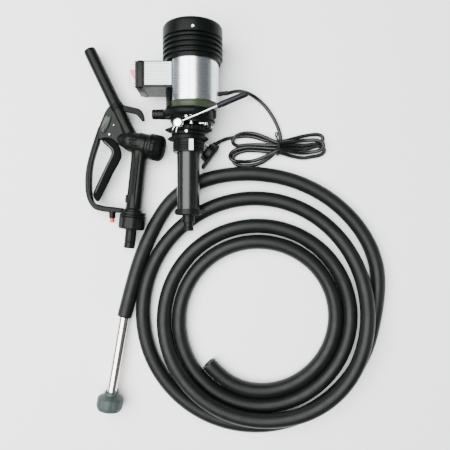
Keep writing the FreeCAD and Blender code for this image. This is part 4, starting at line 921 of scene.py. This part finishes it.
def screw(at, radius, height):
    """Socket-head screw standing on the frame's origin, along its Y axis."""
    key = radius * 0.52

    def socket(degrees, _station, reach):
        if reach > key * 1.01:
            return 0
        side = (degrees % 60) - 30
        return reach * (cos(radians(30)) / cos(radians(side)) - 1)

    head = [(0, 0), (radius, 0), (radius, height - 0.4), (radius - 0.4, height), (key, height),
            (key, height * 0.45), (0, height * 0.45)]
    return lathe(head, at, 36, socket, corner=0.2)


def small_screws():
    covers = [screw(aim(*round_motor(34, 176, radians(45 * index)), (0, -1, 0)), 3.1, 4.6)
              for index in range(8)]
    piece("cover_screw_heads", covers, "root", "steel", ("cover_screws",))
    caps = [screw(aim(*round_motor(52.6, 330, turn), (cos(turn), 0, sin(turn))),
                  2.6, 1.3) for turn in (radians(a) for a in (86, 206, 326))]
    piece("cap_screws", caps, "root", "steel")
    # Screws on the top of the housing and of the neck, and the stem of the clamp screw.
    tops = [screw(aim(-65.2, 183.7, 89.6, (-0.21, 0, 0.98)), 2.5, 2.2),
            screw(aim(-65.8, 160.4, 82.6, (-0.03, 0, 1)), 2.6, 2.4),
            screw(aim(-57.6, 186.6, 90.6, (0, 0, 1)), 1.5, 1.2)]
    piece("top_screws", tops, "root", "steel")
    stem = lathe([(0, 0), (3.2, 0), (3.2, 2.2), (2.0, 2.6), (2.0, 9), (0, 9)],
                 aim(-35.5, 174.2, 80.0, (-1, 0, 0.1)), 36)
    piece("clamp_stem", [stem], "root", "steel")


def lid_screw_heads():
    heads = [screw(aim(-153.0, station, height, (-1, 0, 0)), 3.0, 2.0)
             for height in (27, 82) for station in (237.5, 276.5)]
    piece("lid_screw_heads", heads, "root", "steel", ("lid_screws",))


def switch_case():
    # Plates are drawn in (Y, Z) and stand out towards -X.
    turned = Matrix(((0, 0, -1, 0), (1, 0, 0, 0), (0, 1, 0, 0), (0, 0, 0, 1)))
    out = Matrix.Translation(P(0, 0, 0)) @ turned @ MILLIMETRES
    lid = oblong((233, 22.5), (281, 86.5))
    shapes = [plate(rounded(lid, 4), 140.0, 148.6, out, edge=1.0)]
    frame_bars = [
        ((234.6, 24.1), (248.0, 84.9)), ((274.0, 24.1), (279.4, 84.9)),
        ((246.5, 24.1), (275.5, 36.0)), ((246.5, 73.0), (275.5, 84.9))]
    for low, high in frame_bars:
        shapes.append(plate(rounded(oblong(low, high), 1.2), 148.0, 153.4, out, edge=1.2))
    piece("switch_lid", shapes, "root", "black_plastic", ("box_lid",))


def blank_rules():
    """Thin ruled lines on the two plates, with nothing written between them."""
    rows = [(270 - 4.5 * index - 0.22, 270 - 4.5 * index + 0.22) for index in range(7)]
    lines = [plate(oblong((-137, low), (-97, high)), 85.0, 85.07, edge=0.02)
             for low, high in rows + [(274.5, 275.2), (239.8, 240.5)]]
    piece("box_rules", lines, "root", "grey_foot", material=RULE_GREY)
    arcs = []
    for index in range(12):
        y = 224 + 4.4 * index
        band = [(45.9, y), (46.06, y), (46.06, y + 0.5), (45.9, y + 0.5)]
        arcs += [lathe(band, MOTOR, 24, corner=0, start=start, full=full)
                 for start, full in ((106, 26), (22, 30))]
    seam = [(45.9, 212.4), (46.25, 212.4), (46.25, 282.6), (45.9, 282.6)]
    arcs.append(lathe(seam, MOTOR, 4, corner=0, start=93.4, full=0.9))
    piece("wrap_rules", arcs, "root", "silver_plate", material=RULE_GREY)


def rocker():
    # Drawn in the layout's plan and raised in Z; the high side leans out of the switch.
    wedge = [(-151, 251.8), (-157, 251.8), (-158.5, 255), (-161.5, 259), (-164.4, 264),
             (-164.8, 268.6), (-164, 270.2), (-151, 270.2)]
    pin = lathe([(0, -17), (1.3, -17), (1.3, 17), (0, 17)], aim(-152.5, 261, 54.5, UP), 24)
    piece("rocker_key", [plate(rounded(wedge, 0.8), 40, 69, edge=1.2), pin], "rocker",
          "red_plastic", ("switch_rocker",))


# -------------------------------- lever
LEVER_X, LEVER_Y, LEVER_TURN = -78.5, 172.6, 22.8


def lever_pieces():
    boss = [(0, 0), (7.4, 0), (8.6, 0.9), (8.8, 2), (8.8, 4.4), (8.0, 6.0), (5.6, 7.2), (0, 7.6)]
    at = aim(LEVER_X, LEVER_Y, 89.7, UP)
    shapes = [lathe(boss, at, 72, corner=1.0),
              lathe([(0, -6), (3, -6), (3, 0.5), (0, 0.5)], at, 36)]
    for pin in (((-6, -5), (-10, -13)), ((-1.5, -7), (-4, -16))):
        shapes.append(wire([(LEVER_X + x, LEVER_Y + y, 93.4) for x, y in pin], 0.85))
    piece("lever_hub", shapes, "lever", "chrome", ("lever_boss",))
    reach, turn = 71, radians(LEVER_TURN)
    grip_at = heading(LEVER_X + reach * cos(turn), LEVER_Y + reach * sin(turn), 94.0,
                      LEVER_TURN)
    grip = [(2.05, 0), (3.6, 0), (4.8, 1.4), (5.0, 4), (4.6, 5.2), (4.6, 6.4), (5.2, 7.6),
            (5.2, 51), (4.9, 54), (3.6, 56), (0, 56), (0, 53), (2.05, 53)]
    piece("lever_sleeve", [lathe(grip, grip_at, 48)], "lever", "grip", ("lever_grip",))


# -------------------------------- strainer foot
def strainer():
    # The tube rises from the hose on the floor to the middle of the foot.
    lean = Vector((-22.5, -145, 0)).normalized()
    rise = (24.1 - HOSE_RADIUS) / 150
    at = aim(*TUBE_END, HOSE_RADIUS, (lean.x, lean.y, rise))
    lift = at @ ACROSS
    low, high = 138, 171

    def windows(degrees, station, radius):
        if radius < 20:
            return 0
        slot = abs((degrees + 15) % 30 - 15)
        wall = -12 * (1 - cos(radians((degrees + 22.5) % 45 - 22.5)))
        return wall - 2.4 * fade(station, low + 14.5, high - 8.5, 1.2) * fade(slot, -9, 3.2, 1.2)

    body = [
        (8.85, low), (12.4, low), (12.8, low + 2), (12.8, low + 5.4), (16.4, low + 6.6),
        (20.6, low + 8.4), (23.3, low + 11), (24.0, low + 13.6), (24.0, low + 25),
        (23.6, low + 26.4), (22.8, low + 27), (22.9, low + 28.6), (20.6, high - 0.6),
        (18.6, high), (17.2, high), (16.8, high - 3), (16.8, low + 12), (10, low + 9),
        (8.85, low + 7)]
    shapes = [lathe(body, at, 192, windows, corner=0.9)]
    for index in range(4):
        turn = radians(45 + 90 * index)
        x, z = 11.2 * cos(turn), 11.2 * sin(turn)
        prong = oblong((x - 1.2, z - 1.2), (x + 1.2, z + 1.2))
        shapes.append(plate(rounded(prong, 0.4), low - 5, low + 2, lift, edge=0.4))
    for index in range(2):
        turn = radians(90 * index)
        x, z = cos(turn), sin(turn)
        bar = [(u * x - v * z, u * z + v * x)
               for u, v in ((-17.6, 1.4), (-17.6, -1.4), (17.6, -1.4), (17.6, 1.4))]
        shapes.append(plate(bar, high - 2.6, high - 0.5, lift, edge=0.3))
    piece("strainer_shell", shapes, "root", "grey_foot", ("strainer_foot",), angle=50)


# -------------------------------- mains lead's fittings
def lead_fittings():
    boot_at = aim(MOTOR_X + 43.6, 233.6, 45.4, (1, 0.14, -0.05))

    def ribs(_degrees, station, radius):
        if radius < 3.6:
            return 0
        return -0.5 * fade(station, 5, 18, 1) * ripple(station, 360 / 2.6)

    boot = [(3.42, -0.5), (4.7, -0.5), (4.7, 2.4), (4.5, 3.2)]
    boot += [(4.5 - 0.6 * step / 20, 4.0 + 0.8 * step) for step in range(1, 20)]
    boot += [(3.8, 20), (3.42, 20)]
    piece("cord_boot", [lathe(boot, boot_at, 40, ribs, corner=0.3)], "root", "cord_rubber",
          ("cord_gland",))

    # The tie goes four times round the waist of the hank, and its ends are twisted together.
    waist = 98.5
    loop = [(131.6, 1.2), (130.6, 8), (132.6, 14.4), (137, 19.2), (143, 18.6), (148.5, 18.8),
            (153.5, 19.0), (157.6, 15.5), (159.4, 9), (158.4, 1.2), (150, 0.7), (140, 0.7)]
    shapes = [wire([(waist + shift, y, z) for y, z in loop], 0.7, 8, closed=True)
              for shift in (-1.6, -0.5, 0.6, 1.7)]
    twist = [(97.5, 158.8, 12), (96, 163, 10), (94.4, 168, 6.5), (94.6, 172.4, 3.4),
             (97, 173.6, 2.0), (98.4, 170, 2.2), (97.4, 165, 5), (98.6, 159.2, 9)]
    shapes.append(wire(twist, 1.1, 10))
    return piece("twist_tie", shapes, "root", "cord_rubber", ("hank_tie",),
                 material=SLOTS["black_plastic"])


def plug():
    along = Vector((-0.794, 0.607, 0)).normalized()
    across = Vector((0.607, 0.794, 0)).normalized()
    front_shift = 6.0
    back = (-28.7, 125.0, 18.0)
    at = aim(*back, along)
    front = [(0, -1), (17.2, -1), (18, 0), (18, 8.6), (17, 9.6), (17, 11.4), (15.6, 13), (8, 13),
             (7.4, 12.2), (0, 12.2)]

    def finger_grips(degrees, station, radius):
        if radius < 16.8:
            return 0
        return -0.6 * fade(station, 1.2, 8.4, 1.2) * ripple(degrees, 24)

    # The narrow flat back stands on edge and is longer than the round front.
    slab = [(-25, -0.5), (-24.6, -3.4), (-21, -5), (19, -5), (25.6, -4), (26.4, -1.6), (22, 1),
            (-22, 1)]
    sleeve = [(0, -5), (6.0, -5), (6.0, 0), (5.2, 4), (4.5, 13), (3.42, 13), (3.42, 8), (0, 8)]
    front_at = aim(*(Vector(back) + across * front_shift), along)
    shapes = [lathe(front, front_at, 192, finger_grips, corner=0.8),
              plate(rounded(slab, 2), -11.6, 11.6, at, edge=2.2, steps=4),
              lathe(sleeve, aim(-27.0, 143.4, 10, (0.8, 0.6, 0)), 40)]
    return piece("plug_shell", shapes, "root", "cord_rubber", ("plug_body",),
                 material=SLOTS["black_plastic"])


for build in (nozzle_casting, guard_bow, trigger_lever, latch, hook_and_spout, nozzle_rings,
              motor_cap, flange_and_neck, small_screws, lid_screw_heads, switch_case,
              blank_rules, rocker, lever_pieces, strainer, suction_hose, mains_lead,
              camera_and_room):
    build()
